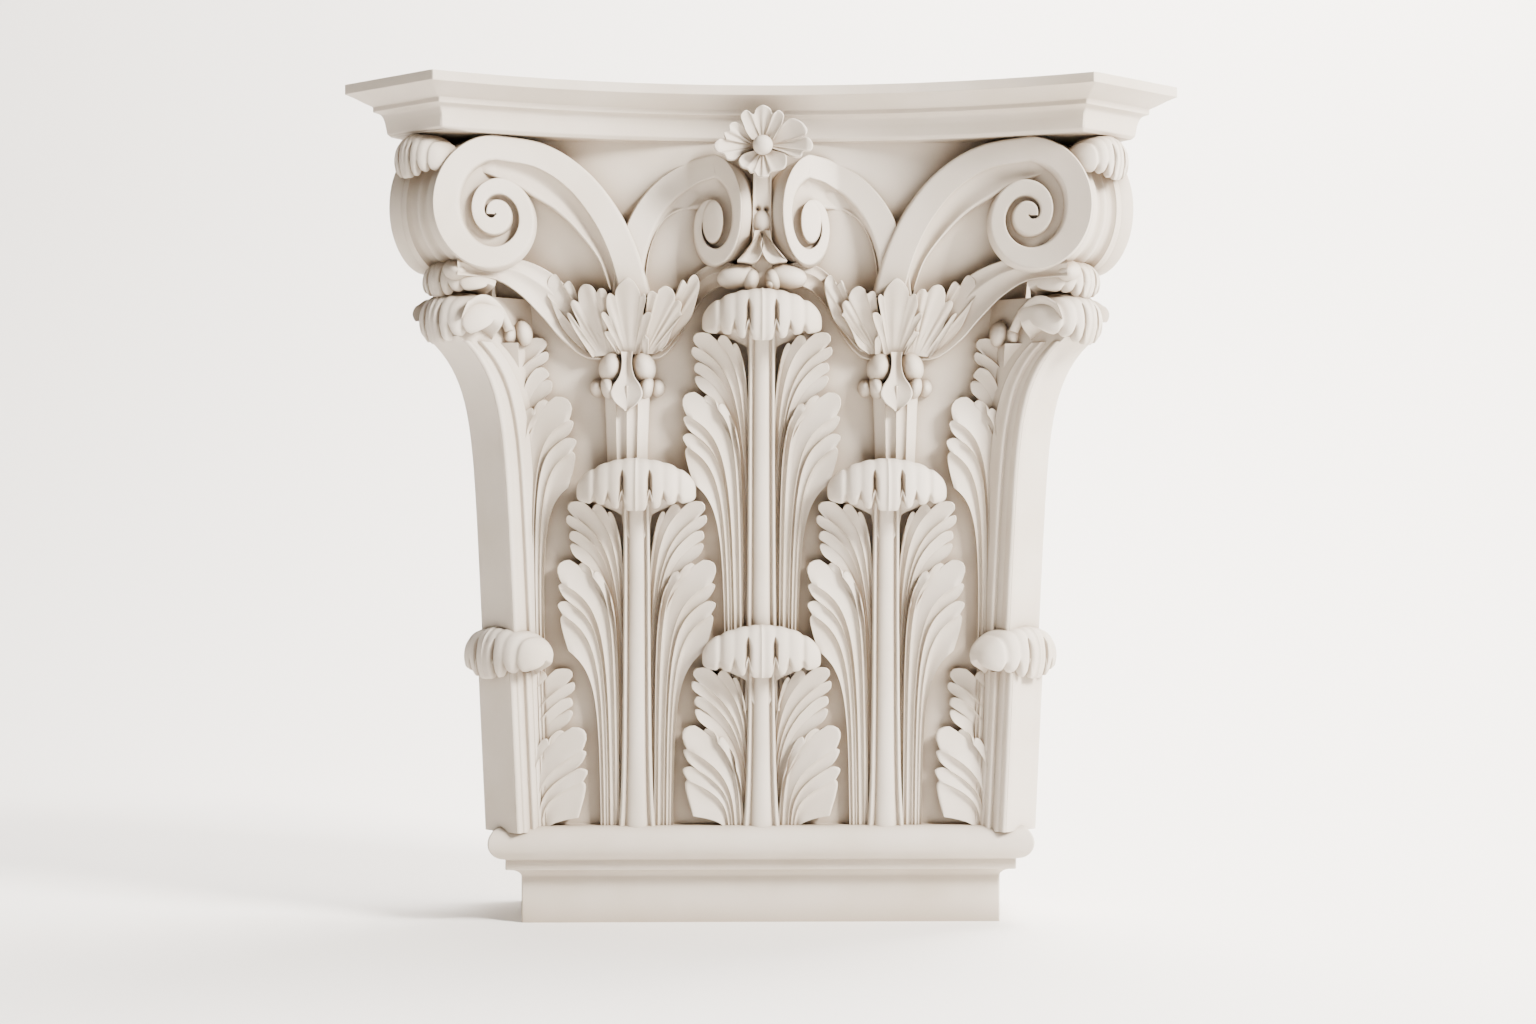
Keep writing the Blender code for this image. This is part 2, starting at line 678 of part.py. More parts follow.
def caulis(name, place, pieces):
    """A fluted stem, its flower-shaped collar and the calyx of leaves that opens above it."""

    def stalk(u, v):
        side = 2 * u - 1
        z = lerp(ROW_TOPS[1] - 0.02, COLLAR_Z, v)
        half = lerp(CAULIS_RADIUS - 0.001, CAULIS_RADIUS + 0.002, v)
        swell = 0.25 + 0.75 * math.sqrt(1 - side * side)
        return place(CAULIS_X + side * half, bell_out(z) + half * swell, z)

    def stalk_back(u, v):
        z = lerp(ROW_TOPS[1] - 0.02, COLLAR_Z, v)
        return place(CAULIS_X + (2 * u - 1) * CAULIS_RADIUS, bell_out(z) - SINK, z)

    slab(name + " stalk", 4, 2, stalk, stalk_back, pieces)

    def collar(u, v, lift):
        side = 2 * u - 1
        half, z = along(COLLAR_OUTLINE, v)
        across = math.sqrt(max(1 - (side * COLLAR_ROUND) ** 2, 0))
        dome = across * math.sin(math.pi * lerp(*COLLAR_SPAN, v))
        out = bell_out(z) + (COLLAR_LIFT + COLLAR_BULGE * dome if lift else -SINK)
        return place(CAULIS_X + side * half, out, z)

    slab(name + " collar", 6, 4, lambda u, v: collar(u, v, True), lambda u, v: collar(u, v, False), pieces)

    for i, (dx, top, width, lift, lean) in enumerate(CALYX_LEAVES):
        def blade(u, v, lifted):
            side = 2 * u - 1
            z = lerp(CALYX_FOOT, top, v)
            middle = CAULIS_X + dx * v ** lean
            half = width * along(BLADE_WIDTHS, v)[0]
            crown = 1 - side * side
            out = bell_out(z) + (lift * (0.7 + 0.5 * v) - BLADE_HOLLOW * crown if lifted else -SINK)
            return place(middle + side * half, out, z)

        faces = (lambda u, v: blade(u, v, True), lambda u, v: blade(u, v, False))
        slab(f"{name} blade {i}", 2, 3, *faces, pieces)

    sprays = zip(("outer", "inner"), (OUTER_SPRAY, INNER_SPRAY), (volute_out, helix_out), SPRAY_SETBACKS)
    for label, (lower, upper), face_out, setback in sprays:
        def spray(u, v, lifted):
            x0, z0 = along(lower, v)
            x1, z1 = along(upper, v)
            x, z = lerp(x0, x1, u), lerp(z0, z1, u)
            hollow = SPRAY_HOLLOW * (1 - (2 * u - 1) ** 2)
            face = lerp(bell_out(z) + SPRAY_LIFT, face_out(x) - setback, v ** 1.5)
            root = face - SPRAY_THICKNESS if x > HALF else min(bell_out(z), face) - SINK
            return place(x, face - hollow if lifted else root, z)

        faces = (lambda u, v: spray(u, v, True), lambda u, v: spray(u, v, False))
        slab(f"{name} {label} spray", 2, 6, *faces, pieces)


def fleuron(pieces):
    """Four lobed petals round a ball, standing on the middle of the abacus."""

    def stalk(u, v):
        side = 2 * u - 1
        z = lerp(ROW_TOPS[2] - STEM_TOP_DROP, FLEURON_Z, v)
        return spot(side * FLEURON_STALK_HALF_WIDTH, lerp(*FLEURON_STALK_OUTS, v), z)

    def stalk_back(u, v):
        z = lerp(ROW_TOPS[2] - STEM_TOP_DROP, FLEURON_Z, v)
        return spot((2 * u - 1) * FLEURON_STALK_HALF_WIDTH, 0, z)

    slab("fleuron stalk", 2, 1, stalk, stalk_back, pieces)

    for i, (turn, length, half_angle) in enumerate(PETALS):
        def petal(u, v, lifted):
            angle = math.radians(turn + (2 * u - 1) * half_angle)
            notch = round(u * PETAL_COLUMNS) % 2 == 0
            share = max(v, PETAL_START)
            radius = length * share * (NOTCH_SHARE if notch else 1)
            cup = FLEURON_OUT - 0.004 - PETAL_STEP * i + PETAL_CUP * share ** 2 - (0.001 if notch else 0)
            back = cup - PETAL_THICKNESS if share > 0.5 else FLEURON_OUT - 0.026 - PETAL_STEP * i
            z = FLEURON_Z + radius * math.sin(angle)
            return spot(radius * math.cos(angle), cup if lifted else back, z)

        faces = (lambda u, v: petal(u, v, True), lambda u, v: petal(u, v, False))
        slab(f"petal {i}", PETAL_COLUMNS, 2, *faces, pieces)

    def boss(u, v):
        angle = math.pi * (u - 0.5) * 0.96
        tilt = math.pi * (v - 0.5) * 0.96
        return spot(
            FLEURON_BALL * math.sin(angle) * math.cos(tilt),
            FLEURON_OUT + FLEURON_BALL * math.cos(angle) * math.cos(tilt) * 0.9,
            FLEURON_Z + FLEURON_BALL * math.sin(tilt),
        )

    def boss_back(u, v):
        return spot(FLEURON_BALL * (u - 0.5), FLEURON_OUT - 0.04, FLEURON_Z + FLEURON_BALL * (v - 0.5))

    slab("fleuron ball", 5, 4, boss, boss_back, pieces)


def corner_lump(name, profile, place, pieces):
    """A small leaf's solid on the corner's diagonal, rooted in what stands behind it."""
    rings = []
    for z, reach, half in profile:
        ring = [
            (-half, reach - half * 0.5), (0, reach), (half, reach - half * 0.5),
            (half * 0.6, LUMP_BACK_REACH), (-half * 0.6, LUMP_BACK_REACH),
        ]
        points = []
        for a, r in ring:
            point = diagonal_place(a, r, z)
            points.append(place(point.x, FACE_Y - point.y, z))
        rings.append(points)
    loft(name, rings, pieces)


def clear_scene():
    for obj in list(bpy.data.objects):
        bpy.data.objects.remove(obj, do_unlink=True)


def plaster():
    material = bpy.data.materials.new("white plaster")
    material.use_nodes = True
    shader = material.node_tree.nodes["Principled BSDF"]
    shader.inputs["Base Color"].default_value = (0.86, 0.83, 0.78, 1)
    shader.inputs["Roughness"].default_value = 0.75
    return material


def join_all(pieces, parent):
    """Unites every piece into the one cast."""
    mesh = bpy.data.meshes.new("capital")
    capital = bpy.data.objects.new("capital", mesh)
    parent.objects.link(capital)
    seed = pieces.objects["core"]
    bm = bmesh.new()
    bm.from_mesh(seed.data)
    bm.to_mesh(mesh)
    bm.free()
    bpy.data.objects.remove(seed, do_unlink=True)
    union = capital.modifiers.new("join", "BOOLEAN")
    union.operation = "UNION"
    union.operand_type = "COLLECTION"
    union.collection = pieces
    union.solver = "EXACT"
    union.use_self = True
    capital.data.materials.append(plaster())
    for obj in pieces.objects:
        obj.hide_render = True
        obj.display_type = "WIRE"
    return capital


def main():
    clear_scene()
    parent = bpy.data.collections.new("corinthian capital")
    pieces = bpy.data.collections.new("pieces")
    bpy.context.scene.collection.children.link(parent)
    bpy.context.scene.collection.children.link(pieces)
    core(pieces)
    abacus(pieces)
    leaf("low middle leaf", 0, 0, pieces, front_place)
    leaf("tall middle leaf", 0, 2, pieces, front_place)
    for hand, place in zip(("right", "left"), both_ways(front_place)):
        leaf(f"{hand} leaf", SIDE_LEAF_X, 1, pieces, place)
        foot = BELL_FOOT - SINK
        corner_leaf(f"{hand} tall corner", 1, foot, CORNER_FLARE_TOP, 0, place, pieces)
        corner_leaf(f"{hand} low corner", 0, foot, CORNER_LOW_TOP, CORNER_LOW_STEP, place, pieces)
        volute(f"{hand} volute", place, pieces)
        corner_lump(f"{hand} corner rest", CORNER_REST, place, pieces)
        corner_lump(f"{hand} horn husk", HORN_HUSK, place, pieces)
        helix(f"{hand} helix", place, pieces)
        caulis(f"{hand} caulis", place, pieces)
    fleuron(pieces)
    join_all(pieces, parent)


main()
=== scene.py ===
"""Corinthian pilaster capital in white plaster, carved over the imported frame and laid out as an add-on."""

import math

import bmesh
import bpy
from bpy.props import FloatProperty, FloatVectorProperty, PointerProperty
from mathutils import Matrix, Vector, noise


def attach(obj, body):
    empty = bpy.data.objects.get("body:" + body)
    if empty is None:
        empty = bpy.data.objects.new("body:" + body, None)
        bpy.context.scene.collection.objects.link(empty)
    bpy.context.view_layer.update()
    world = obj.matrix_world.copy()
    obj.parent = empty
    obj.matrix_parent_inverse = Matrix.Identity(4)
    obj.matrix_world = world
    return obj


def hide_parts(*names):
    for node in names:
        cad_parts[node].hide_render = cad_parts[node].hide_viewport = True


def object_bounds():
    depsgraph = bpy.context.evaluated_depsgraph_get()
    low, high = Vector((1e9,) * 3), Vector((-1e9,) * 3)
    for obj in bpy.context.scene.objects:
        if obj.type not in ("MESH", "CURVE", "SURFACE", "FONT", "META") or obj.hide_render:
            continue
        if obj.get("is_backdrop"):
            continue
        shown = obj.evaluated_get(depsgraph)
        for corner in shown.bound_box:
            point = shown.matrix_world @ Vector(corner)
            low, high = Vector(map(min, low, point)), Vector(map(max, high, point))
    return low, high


bl_info = {
    "name": "Corinthian capital",
    "version": (1, 0, 0),
    "blender": (4, 5, 0),
    "location": "3D View > Sidebar > Capital",
    "description": "Carves the leaves, scrolls and mouldings of a plaster pilaster capital",
    "category": "Add Mesh",
}

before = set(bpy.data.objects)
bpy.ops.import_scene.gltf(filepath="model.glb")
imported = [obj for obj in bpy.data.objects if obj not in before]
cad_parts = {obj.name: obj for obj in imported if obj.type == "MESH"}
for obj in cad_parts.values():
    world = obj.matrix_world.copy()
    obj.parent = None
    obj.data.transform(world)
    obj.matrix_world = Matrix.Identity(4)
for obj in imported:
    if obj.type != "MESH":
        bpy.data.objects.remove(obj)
CAD_LOW, CAD_HIGH = (Vector(corner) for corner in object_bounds())

# Radius left open at the eye of a scroll
EYE = 0.0004

# Neck mouldings, from the ground up
HALF = 0.1675
NECK_DEPTH = 0.112
NECK_BLOCK_TOP = 0.032
CAVETTO_HEIGHT = 0.006
FILLET_HEIGHT = 0.0075
FILLET_OUT = 0.0105
TORUS_HEIGHT = 0.0238
TORUS_OUT = 0.022

# Bell
BELL_FOOT_OUT = 0.005
BELL_SLOPE = 0.006
BELL_FLARE = 0.019
BELL_FLARE_POWER = 4

# Abacus
ABACUS_THICKNESS = 0.035
HORN_X = 0.218
HORN_CUT = 0.0662
HOLLOW_DEPTH = 0.062
ABACUS_INSET = 0.0225
ABACUS_FILLET = 0.0066
ABACUS_LIP = 0.0035

# Leaf rows: the height of each row's curl, the reach of its curl and its leaves' flare
ROW_TOPS = (0.209, 0.324, 0.440)
ROW_REACHES = (0.034, 0.048, 0.060)
LEAF_FLARES = (0.006, 0.008, 0.012)
FLARE_LENGTH = 0.025
SIDE_LEAF_X = 0.0865
LEAF_RELIEF = 0.009
CURL_HALF_WIDTH = 0.041
CURL_DROP = 0.034
STEM_HALF_WIDTH = 0.011

# The rolled tip: the cuts between its lobes, either side of its middle, with their depth and how far they
# shorten the lip; its outer and inner curve, as shares of its reach and its height; and its heights
CURL_CUTS = ((0.23, 0.35, 0.110), (0.46, 0.30, 0.085), (0.70, 0.75, 0.070))
CURL_OVER = (
    (-0.45, -1.60), (-0.45, -0.90), (-0.32, -0.36), (0.06, -0.06), (0.42, 0.0),
    (0.76, -0.06), (0.95, -0.28), (1.0, -0.62), (0.90, -1.0),
)
CURL_UNDER = (
    (0, -1.60), (0, -1.25), (0.02, -1.0), (0.14, -0.84), (0.32, -0.72),
    (0.50, -0.64), (0.66, -0.62), (0.76, -0.76), (0.80, -0.98),
)
CURL_TOP_FALL = 0.0215
CURL_LIP = 0.0365
CURL_END = 0.0255

# Lobes: the edge of each finger, from one cut to the next, as points sideways from the leaf's axis and down
# from the curl's top. The channels are the cuts that run the whole way down.
LOW_LOBE = (
    ((0.0176, 0.1010), (0.0186, 0.0930), (0.0216, 0.0862), (0.0236, 0.0860)),
    ((0.0236, 0.0860), (0.0250, 0.0797), (0.0288, 0.0780), (0.0305, 0.0820)),
    ((0.0305, 0.0820), (0.0325, 0.0755), (0.0378, 0.0722), (0.0412, 0.0745)),
    ((0.0412, 0.0745), (0.0465, 0.0700), (0.0535, 0.0722), (0.0550, 0.0785), (0.0520, 0.0862)),
    ((0.0520, 0.0862), (0.0545, 0.0882), (0.0510, 0.0955), (0.0445, 0.1010)),
    ((0.0445, 0.1010), (0.0500, 0.0985), (0.0550, 0.1010), (0.0515, 0.1080)),
    ((0.0515, 0.1080), (0.0532, 0.1110), (0.0515, 0.1200), (0.0475, 0.1330)),
)
LOW_CHANNELS = (0, 2, 4, 5, 6, 7)
MID_LOBE = (
    ((0.0135, 0.0520), (0.0145, 0.0430), (0.0180, 0.0365), (0.0210, 0.0385)),
    ((0.0210, 0.0385), (0.0240, 0.0325), (0.0285, 0.0315), (0.0310, 0.0355)),
    ((0.0310, 0.0355), (0.0370, 0.0300), (0.0455, 0.0300), (0.0475, 0.0350), (0.0430, 0.0405)),
    ((0.0430, 0.0405), (0.0480, 0.0392), (0.0480, 0.0450), (0.0405, 0.0505)),
    ((0.0405, 0.0505), (0.0455, 0.0500), (0.0468, 0.0550), (0.0430, 0.0580)),
    ((0.0430, 0.0580), (0.0465, 0.0600), (0.0440, 0.0665), (0.0385, 0.0710)),
    ((0.0385, 0.0710), (0.0370, 0.0770), (0.0320, 0.0830), (0.0270, 0.0920)),
)
MID_CHANNELS = (0, 2, 3, 4, 6, 7)
# For each lobe: where its first and last flow line start, sideways, then their straight run and its height
LOW_FEET = (0.0120, 0.0250)
LOW_RUN = (0.036, 0.0115)
MID_FEET = (0.0070, 0.0125)
MID_RUN = (0.045, 0.0088)

# Corner leaves, on the diagonal
CORNER_TOPS = (0.208, 0.437)
CORNER_LOW_TOP = 0.180
CORNER_FOOT = 0.010
CORNER_LEAN = 0.014
CORNER_FLARE = 0.027
CORNER_FLARE_TOP = 0.407
CORNER_FLARE_LENGTH = 0.025
CORNER_HALF_CHAMFER = 0.0115
CORNER_LOW_STEP = 0.0035
CORNER_SPREAD = 1.05
CORNER_CURL_REACHES = (0.036, 0.082)
CORNER_CURL_DEPTHS = (0.034, 0.042)
CORNER_CURL_HALF_WIDTHS = (0.037, 0.030)
CORNER_CURL_FALLS = (0.020, 0.016)
CORNER_BACK = NECK_DEPTH / 4
# Ribs beside the corner leaf's flat: the width that they fill, and its slope back to the bell
RIBS_WIDTH = 0.0185
RIBS_SLOPE = 0.82
# Upper and lower edge of the strap between the tall corner leaf's curl and the front
STRAP_EDGES = (
    (
        (0.1985, 0.4285), (0.1912, 0.4335), (0.1844, 0.4332),
        (0.1783, 0.4281), (0.1739, 0.4207), (0.1702, 0.4120),
    ),
    (
        (0.2048, 0.4120), (0.1999, 0.4201), (0.1943, 0.4225),
        (0.1875, 0.4209), (0.1826, 0.4164), (0.1789, 0.4090),
    ),
)
# Share of the strap's width that is carved, its stand-off at both ends and at its back
STRAP_SHARE = 0.66
STRAP_OUTS = (0.070, 0.037)
STRAP_BACK = 0.020
# The wedge under the tall corner leaf's curl, and the toes beside it, each with x, out, z, width, height,
# depth and turn
WEB_TOP = 0.4340
WEB_TAPER = 0.0230
CORNER_TOES = (
    (0.1735, 0.026, 0.4090, 0.0048, 0.0070, 0.0120, 0.1),
    (0.1645, 0.022, 0.4105, 0.0062, 0.0092, 0.0120, -0.2),
)

# Caulicoli
CAULIS_X = 0.093
CAULIS_RADIUS = 0.014
CAULIS_FLUTES = 4
COLLAR_Z = 0.374
# The collar: its tongue, from the tip up, and its round lobes, each with x from the stem, out, z, width,
# height, depth and turn
TONGUE_SPAN = (0.3565, 0.3975)
TONGUE_HALF_WIDTHS = ((0.0012,), (0.0080,), (0.0110,), (0.0094,), (0.0056,), (0.0038,), (0.0034,), (0.0040,))
COLLAR_LOBES = (
    (0.0112, 0.003, 0.3872, 0.0086, 0.0112, 0.0165, 0.20),
    (0.0130, 0.003, 0.3728, 0.0056, 0.0084, 0.0165, -0.30),
    (0.0208, 0, 0.3730, 0.0052, 0.0062, 0.0120, 0),
)
CALYX_FOOT = 0.397

# Scrolls: outer and inner radius of the band at each quarter turn, and the arch that leads to the top
VOLUTE_POLE = (0.1805, 0.488)
VOLUTE_SQUASH = 0.88
VOLUTE_RELIEF = 0.008
VOLUTE_SETBACK = 0.005
VOLUTE_END = 9
VOLUTE_TURNS = (
    (0.0537, 0.0367), (0.0455, 0.0259), (0.0365, 0.0217), (0.0287, 0.0173), (0.0243, 0.0132),
    (0.0172, 0.0072), (0.0139, EYE), (0.0122, EYE), (0.0098, EYE), (0.0066, EYE),
)
VOLUTE_ARCH = (
    (0.077, 0.436), (0.086, 0.468), (0.100, 0.496), (0.121, 0.521), (0.148, 0.537), (0.1805, 0.5417),
)
HELIX_POLE = (0.0335, 0.4854)
HELIX_SQUASH = 0.556
HELIX_EDGE_X = 0.017
HELIX_EDGE_OUT = 0.052
HELIX_TURN_X = 0.052
HELIX_END = 7
HELIX_TURNS = (
    (0.0470, 0.0308), (0.0345, 0.0230), (0.0288, 0.0176), (0.0237, 0.0131),
    (0.0159, EYE), (0.0122, EYE), (0.0137, EYE), (0.0131, EYE),
)
HELIX_ARCH = (
    (0.103, 0.436), (0.099, 0.466), (0.088, 0.495), (0.071, 0.516), (0.051, 0.5285), (0.0335, 0.5324),
)
# The helix's eye: its radius at each quarter turn, and its rings as a share of that and a rise over the face
HELIX_EYE = ((0.0159,), (0.0122,), (0.0137,), (0.0131,), (0.0159,))
HELIX_EYE_RINGS = ((1, -0.012), (1, -0.0002), (0.95, 0.0009), (0.80, 0.0013), (0.3, 0.0014))
ARCH_QUARTERS = 1.6
SPRING_WIDTH = 0.020
# Inner edge of the hollow that follows each arch, from the spring to the scroll
VOLUTE_CANAL = (
    (0.1054, 0.4416), (0.1128, 0.4608), (0.1277, 0.4800), (0.1420, 0.4930),
    (0.1560, 0.5010), (0.1680, 0.5080), (0.1800, 0.5125), (0.1900, 0.5165),
)
HELIX_CANAL = (
    (0.0800, 0.4500), (0.0765, 0.4700), (0.0690, 0.4860), (0.0590, 0.4940),
    (0.0490, 0.4960), (0.0410, 0.4960), (0.0345, 0.4980),
)
# Lower and upper edge of the smooth ground inside the volute's arch
APRON_FOOT = ((0.100, 0.402), (0.112, 0.412), (0.126, 0.424), (0.140, 0.436), (0.152, 0.446), (0.166, 0.452))
APRON_HEAD = (*VOLUTE_CANAL[:5], (0.166, 0.5050))

# Fleuron
FLEURON_Z = 0.535
FLEURON_OUT = 0.066
FLEURON_BALL = 0.0068

# Edges of the flower's four petals, in millimetres from its middle
PETAL_EDGES = (
    (
        (-7.1, 3.8), (-11.2, 10.3), (-17.5, 15.3), (-22.5, 14.1), (-22.9, 9.6), (-26.5, 8.2),
        (-25.0, 3.7), (-29.4, 4.1), (-33.2, 0.0), (-31.2, -4.4), (-26.5, -5.9), (-23.8, -9.6),
        (-18.8, -9.4), (-15.3, -6.5), (-12.6, -5.3), (-7.3, -2.4),
    ),
    (
        (7.1, 5.0), (11.2, 10.3), (14.8, 15.4), (20.0, 18.0), (25.8, 15.6), (29.9, 11.0),
        (29.4, 7.4), (27.2, 5.6), (31.4, 4.6), (33.9, 0.4), (32.6, -3.6), (27.4, -4.2), (26.3, -7.5),
        (22.2, -8.2), (18.2, -6.5), (15.3, -5.0), (7.6, -2.1),
    ),
    (
        (-6.8, -3.5), (-13.1, -6.0), (-16.2, -10.3), (-14.1, -14.7), (-10.3, -15.9), (-8.2, -18.5),
        (-5.3, -18.2), (-3.2, -21.0), (-0.3, -21.6), (3.8, -20.9), (5.3, -17.9), (9.4, -16.9),
        (15.0, -15.0), (16.2, -10.6), (15.0, -5.9), (7.1, -3.2),
    ),
    (
        (-7.6, 4.4), (-10.9, 8.4), (-13.4, 14.3), (-15.0, 20.1), (-11.2, 23.4), (-6.5, 20.7),
        (-4.4, 24.7), (0.1, 26.8), (4.9, 24.7), (6.6, 21.0), (10.4, 23.5), (14.1, 20.6),
        (13.5, 15.7), (10.9, 10.6), (7.3, 4.4),
    ),
)
# Shares of each petal's edge that its ridges run to
PETAL_RIDGES = ((0.25, 0.38, 0.67), (0.42, 0.66, 0.8), (0.26, 0.40, 0.54, 0.68), (0.33, 0.5, 0.66))

# Edges of the calyx's five leaves, in millimetres outward from its axis and up from its foot
CALYX_EDGES = (
    (
        (24.7, -1.0), (34.8, 7.1), (43.8, 17.1), (48.9, 27.2), (52.9, 37.3), (54.9, 41.3),
        (54.4, 49.4), (52.4, 53.4), (48.9, 54.4), (45.9, 50.9), (43.8, 47.2), (40.8, 49.6),
        (38.3, 48.9), (35.8, 43.8), (33.6, 34.3), (26.7, 27.2),
    ),
    (
        (-26.7, 30.2), (-34.3, 42.3), (-37.3, 49.4), (-39.3, 50.1), (-41.8, 47.4), (-43.3, 51.4),
        (-45.9, 54.2), (-48.7, 52.9), (-50.1, 47.4), (-48.9, 40.3), (-44.9, 27.2), (-40.8, 20.2),
        (-35.8, 15.1), (-28.7, 6.0),
    ),
    (
        (23.7, -2.5), (35.3, 15.1), (39.8, 24.2), (41.0, 27.7), (38.3, 26.7), (34.3, 20.7),
        (32.0, 17.3), (33.6, 22.2), (36.6, 28.7), (38.5, 34.1), (36.3, 36.5), (33.0, 35.3),
        (33.2, 40.3), (31.2, 45.4), (27.7, 46.9), (23.2, 45.4), (20.6, 41.9), (18.6, 43.8),
        (15.6, 43.8), (13.4, 41.3), (12.6, 37.3), (12.6, 20.2), (5.5, 0.0),
    ),
    (
        (-8.6, 0.2), (-12.6, 18.1), (-14.1, 29.2), (-14.6, 38.3), (-15.6, 41.8), (-18.1, 42.5),
        (-21.2, 40.7), (-22.7, 43.8), (-26.7, 45.9), (-31.2, 43.8), (-33.5, 39.1), (-33.3, 36.2),
        (-35.8, 36.3), (-38.0, 33.8), (-37.0, 29.0), (-38.2, 26.8), (-36.4, 24.8), (-33.3, 19.7),
        (-31.2, 16.1), (-26.7, 6.0), (-18.6, 0.2),
    ),
    (
        (6.6, 0.0), (10.6, 6.0), (15.6, 14.6), (12.2, 16.1), (17.1, 25.7), (15.6, 28.4),
        (11.9, 25.6), (13.8, 32.3), (12.8, 39.1), (10.6, 40.5), (7.8, 38.9), (7.2, 42.3),
        (4.5, 46.9), (-1.0, 50.9), (-6.0, 47.4), (-9.4, 41.3), (-9.8, 38.9), (-12.2, 40.3),
        (-13.5, 37.8), (-12.4, 32.3), (-11.2, 26.2), (-14.1, 28.2), (-17.1, 27.2), (-16.1, 22.2),
        (-13.0, 13.3), (-15.1, 10.1), (-14.6, 0.0),
    ),
)
# For each leaf: its root's two ends, how far its tip lifts, and the shares of its edge that ridges run to
CALYX_ROOTS = (
    ((24.0, -1.5), (12.0, 0.5), 0.0150, (0.28, 0.68)),
    ((-16.0, 3.5), (-24.0, 2.0), 0.0160, (0.22, 0.60)),
    ((22.0, -1.5), (8.0, 0), 0.0235, (0.17, 0.44, 0.66, 0.78)),
    ((-6.0, 0), (-18.0, 0.5), 0.0235, (0.30, 0.50, 0.62, 0.80)),
    ((5.0, 0), (-9.0, 0), 0.0300, (0.13, 0.29, 0.50, 0.70, 0.86)),
)
# The bud between the helices: its height, the two pits in the stalk above it, by their distance from the
# middle and their height, and the edge of one half of it, in millimetres from its middle
BUD_Z = 0.4864
STALK_PITS = (0.0028, 0.4950)
BUD_EDGE = (
    (5.2, -7.4), (6.7, -14.8), (10.4, -20.7), (14.1, -25.2), (17.0, -28.1),
    (11.1, -28.9), (6.7, -29.6), (3.0, -27.4), (0.2, -22.2), (-1.2, -17.0),
)

# Sprays of leaf under the volute and under the helix: lower edge and upper edge
OUTER_SPRAY = (
    (
        (0.104, 0.392), (0.122, 0.394), (0.138, 0.406), (0.151, 0.421),
        (0.166, 0.436), (0.182, 0.445), (0.205, 0.446),
    ),
    (
        (0.100, 0.412), (0.118, 0.424), (0.132, 0.440), (0.146, 0.452),
        (0.163, 0.459), (0.181, 0.460), (0.205, 0.460),
    ),
)
INNER_SPRAY = (
    (
        (0.086, 0.392), (0.070, 0.394), (0.058, 0.406), (0.048, 0.424),
        (0.038, 0.437), (0.027, 0.443), (0.016, 0.444),
    ),
    (
        (0.084, 0.412), (0.070, 0.422), (0.058, 0.438), (0.047, 0.451),
        (0.036, 0.458), (0.025, 0.459), (0.016, 0.456),
    ),
)
SPRAY_THICKNESS = 0.012
# Soft rolls that end the sheaths, one at the corner and two beside the flower's stalk, each with x, out, z,
# width, height, depth and turn
SPRAY_ROLLS = (
    (0.2070, 0.040, 0.4500, 0.0120, 0.0100, 0.0330, 0.15),
    (0.0165, 0.034, 0.4490, 0.0145, 0.0085, 0.0100, -0.15),
    (0.0075, 0.036, 0.4465, 0.0056, 0.0080, 0.0095, 0.2),
)

# Small rolled leaves on the diagonal, under the volute and under the horn, each with its top, reach, root,
# half width and scale
CORNER_REST = (0.4590, 0.0800, 0.045, 0.0270, 0.72)
HORN_HUSK = (0.5420, 0.1050, 0.075, 0.0235, 0.85)

# Stage: the paper sweep, and the camera's lens in millimetres, its turn in degrees and its step to the side
PAPER_WIDTH = 8
PAPER_FRONT = -3.2
PAPER_BACK = 1.6
PAPER_HEIGHT = 3.2
PAPER_BEND = 0.7
CAMERA_LENS = 62.8
CAMERA_TURN = -1.2
CAMERA_BESIDE = 0.0049

# Derived places
HEIGHT = CAD_HIGH.z
TORUS_FOOT = NECK_BLOCK_TOP + CAVETTO_HEIGHT + FILLET_HEIGHT
BELL_FOOT = TORUS_FOOT + TORUS_HEIGHT
ABACUS_FOOT = HEIGHT - ABACUS_THICKNESS
HORN_OUT = HORN_X + HORN_CUT - HALF
WALL_Y = CAD_HIGH.y
FACE_Y = WALL_Y - NECK_DEPTH
HOLLOW_RADIUS = (HORN_X ** 2 + HOLLOW_DEPTH ** 2) / (2 * HOLLOW_DEPTH)
HOLLOW_CENTRE = HORN_OUT - HOLLOW_DEPTH + HOLLOW_RADIUS
SINK = 0.004


class CapitalCarving(bpy.types.PropertyGroup):
    """How deep the carving goes."""

    flute_depth: FloatProperty(
        name="Flute depth", description="Depth of the channel down each leaf finger",
        default=0.0026, min=0, max=0.006, unit="LENGTH",
    )
    undercut: FloatProperty(
        name="Undercut", description="How far a leaf's edge overhangs the ground behind it",
        default=0.0048, min=0, max=0.01, unit="LENGTH",
    )
    rib_height: FloatProperty(
        name="Rib height", description="Height of the middle rib of a leaf over its own face",
        default=0.0036, min=0, max=0.01, unit="LENGTH",
    )
    curl_groove: FloatProperty(
        name="Curl groove", description="Depth of the cuts that part the lobes of a rolled leaf tip",
        default=0.0020, min=0, max=0.006, unit="LENGTH",
    )
    edge_round: FloatProperty(
        name="Edge rounding", description="Radius that casting and rubbing leave on a carved edge",
        default=0.0012, min=0.0002, max=0.004, unit="LENGTH",
    )
    hand_wobble: FloatProperty(
        name="Hand wobble", description="Unevenness that the modeller's hand leaves in a surface",
        default=0.0005, min=0, max=0.003, unit="LENGTH",
    )


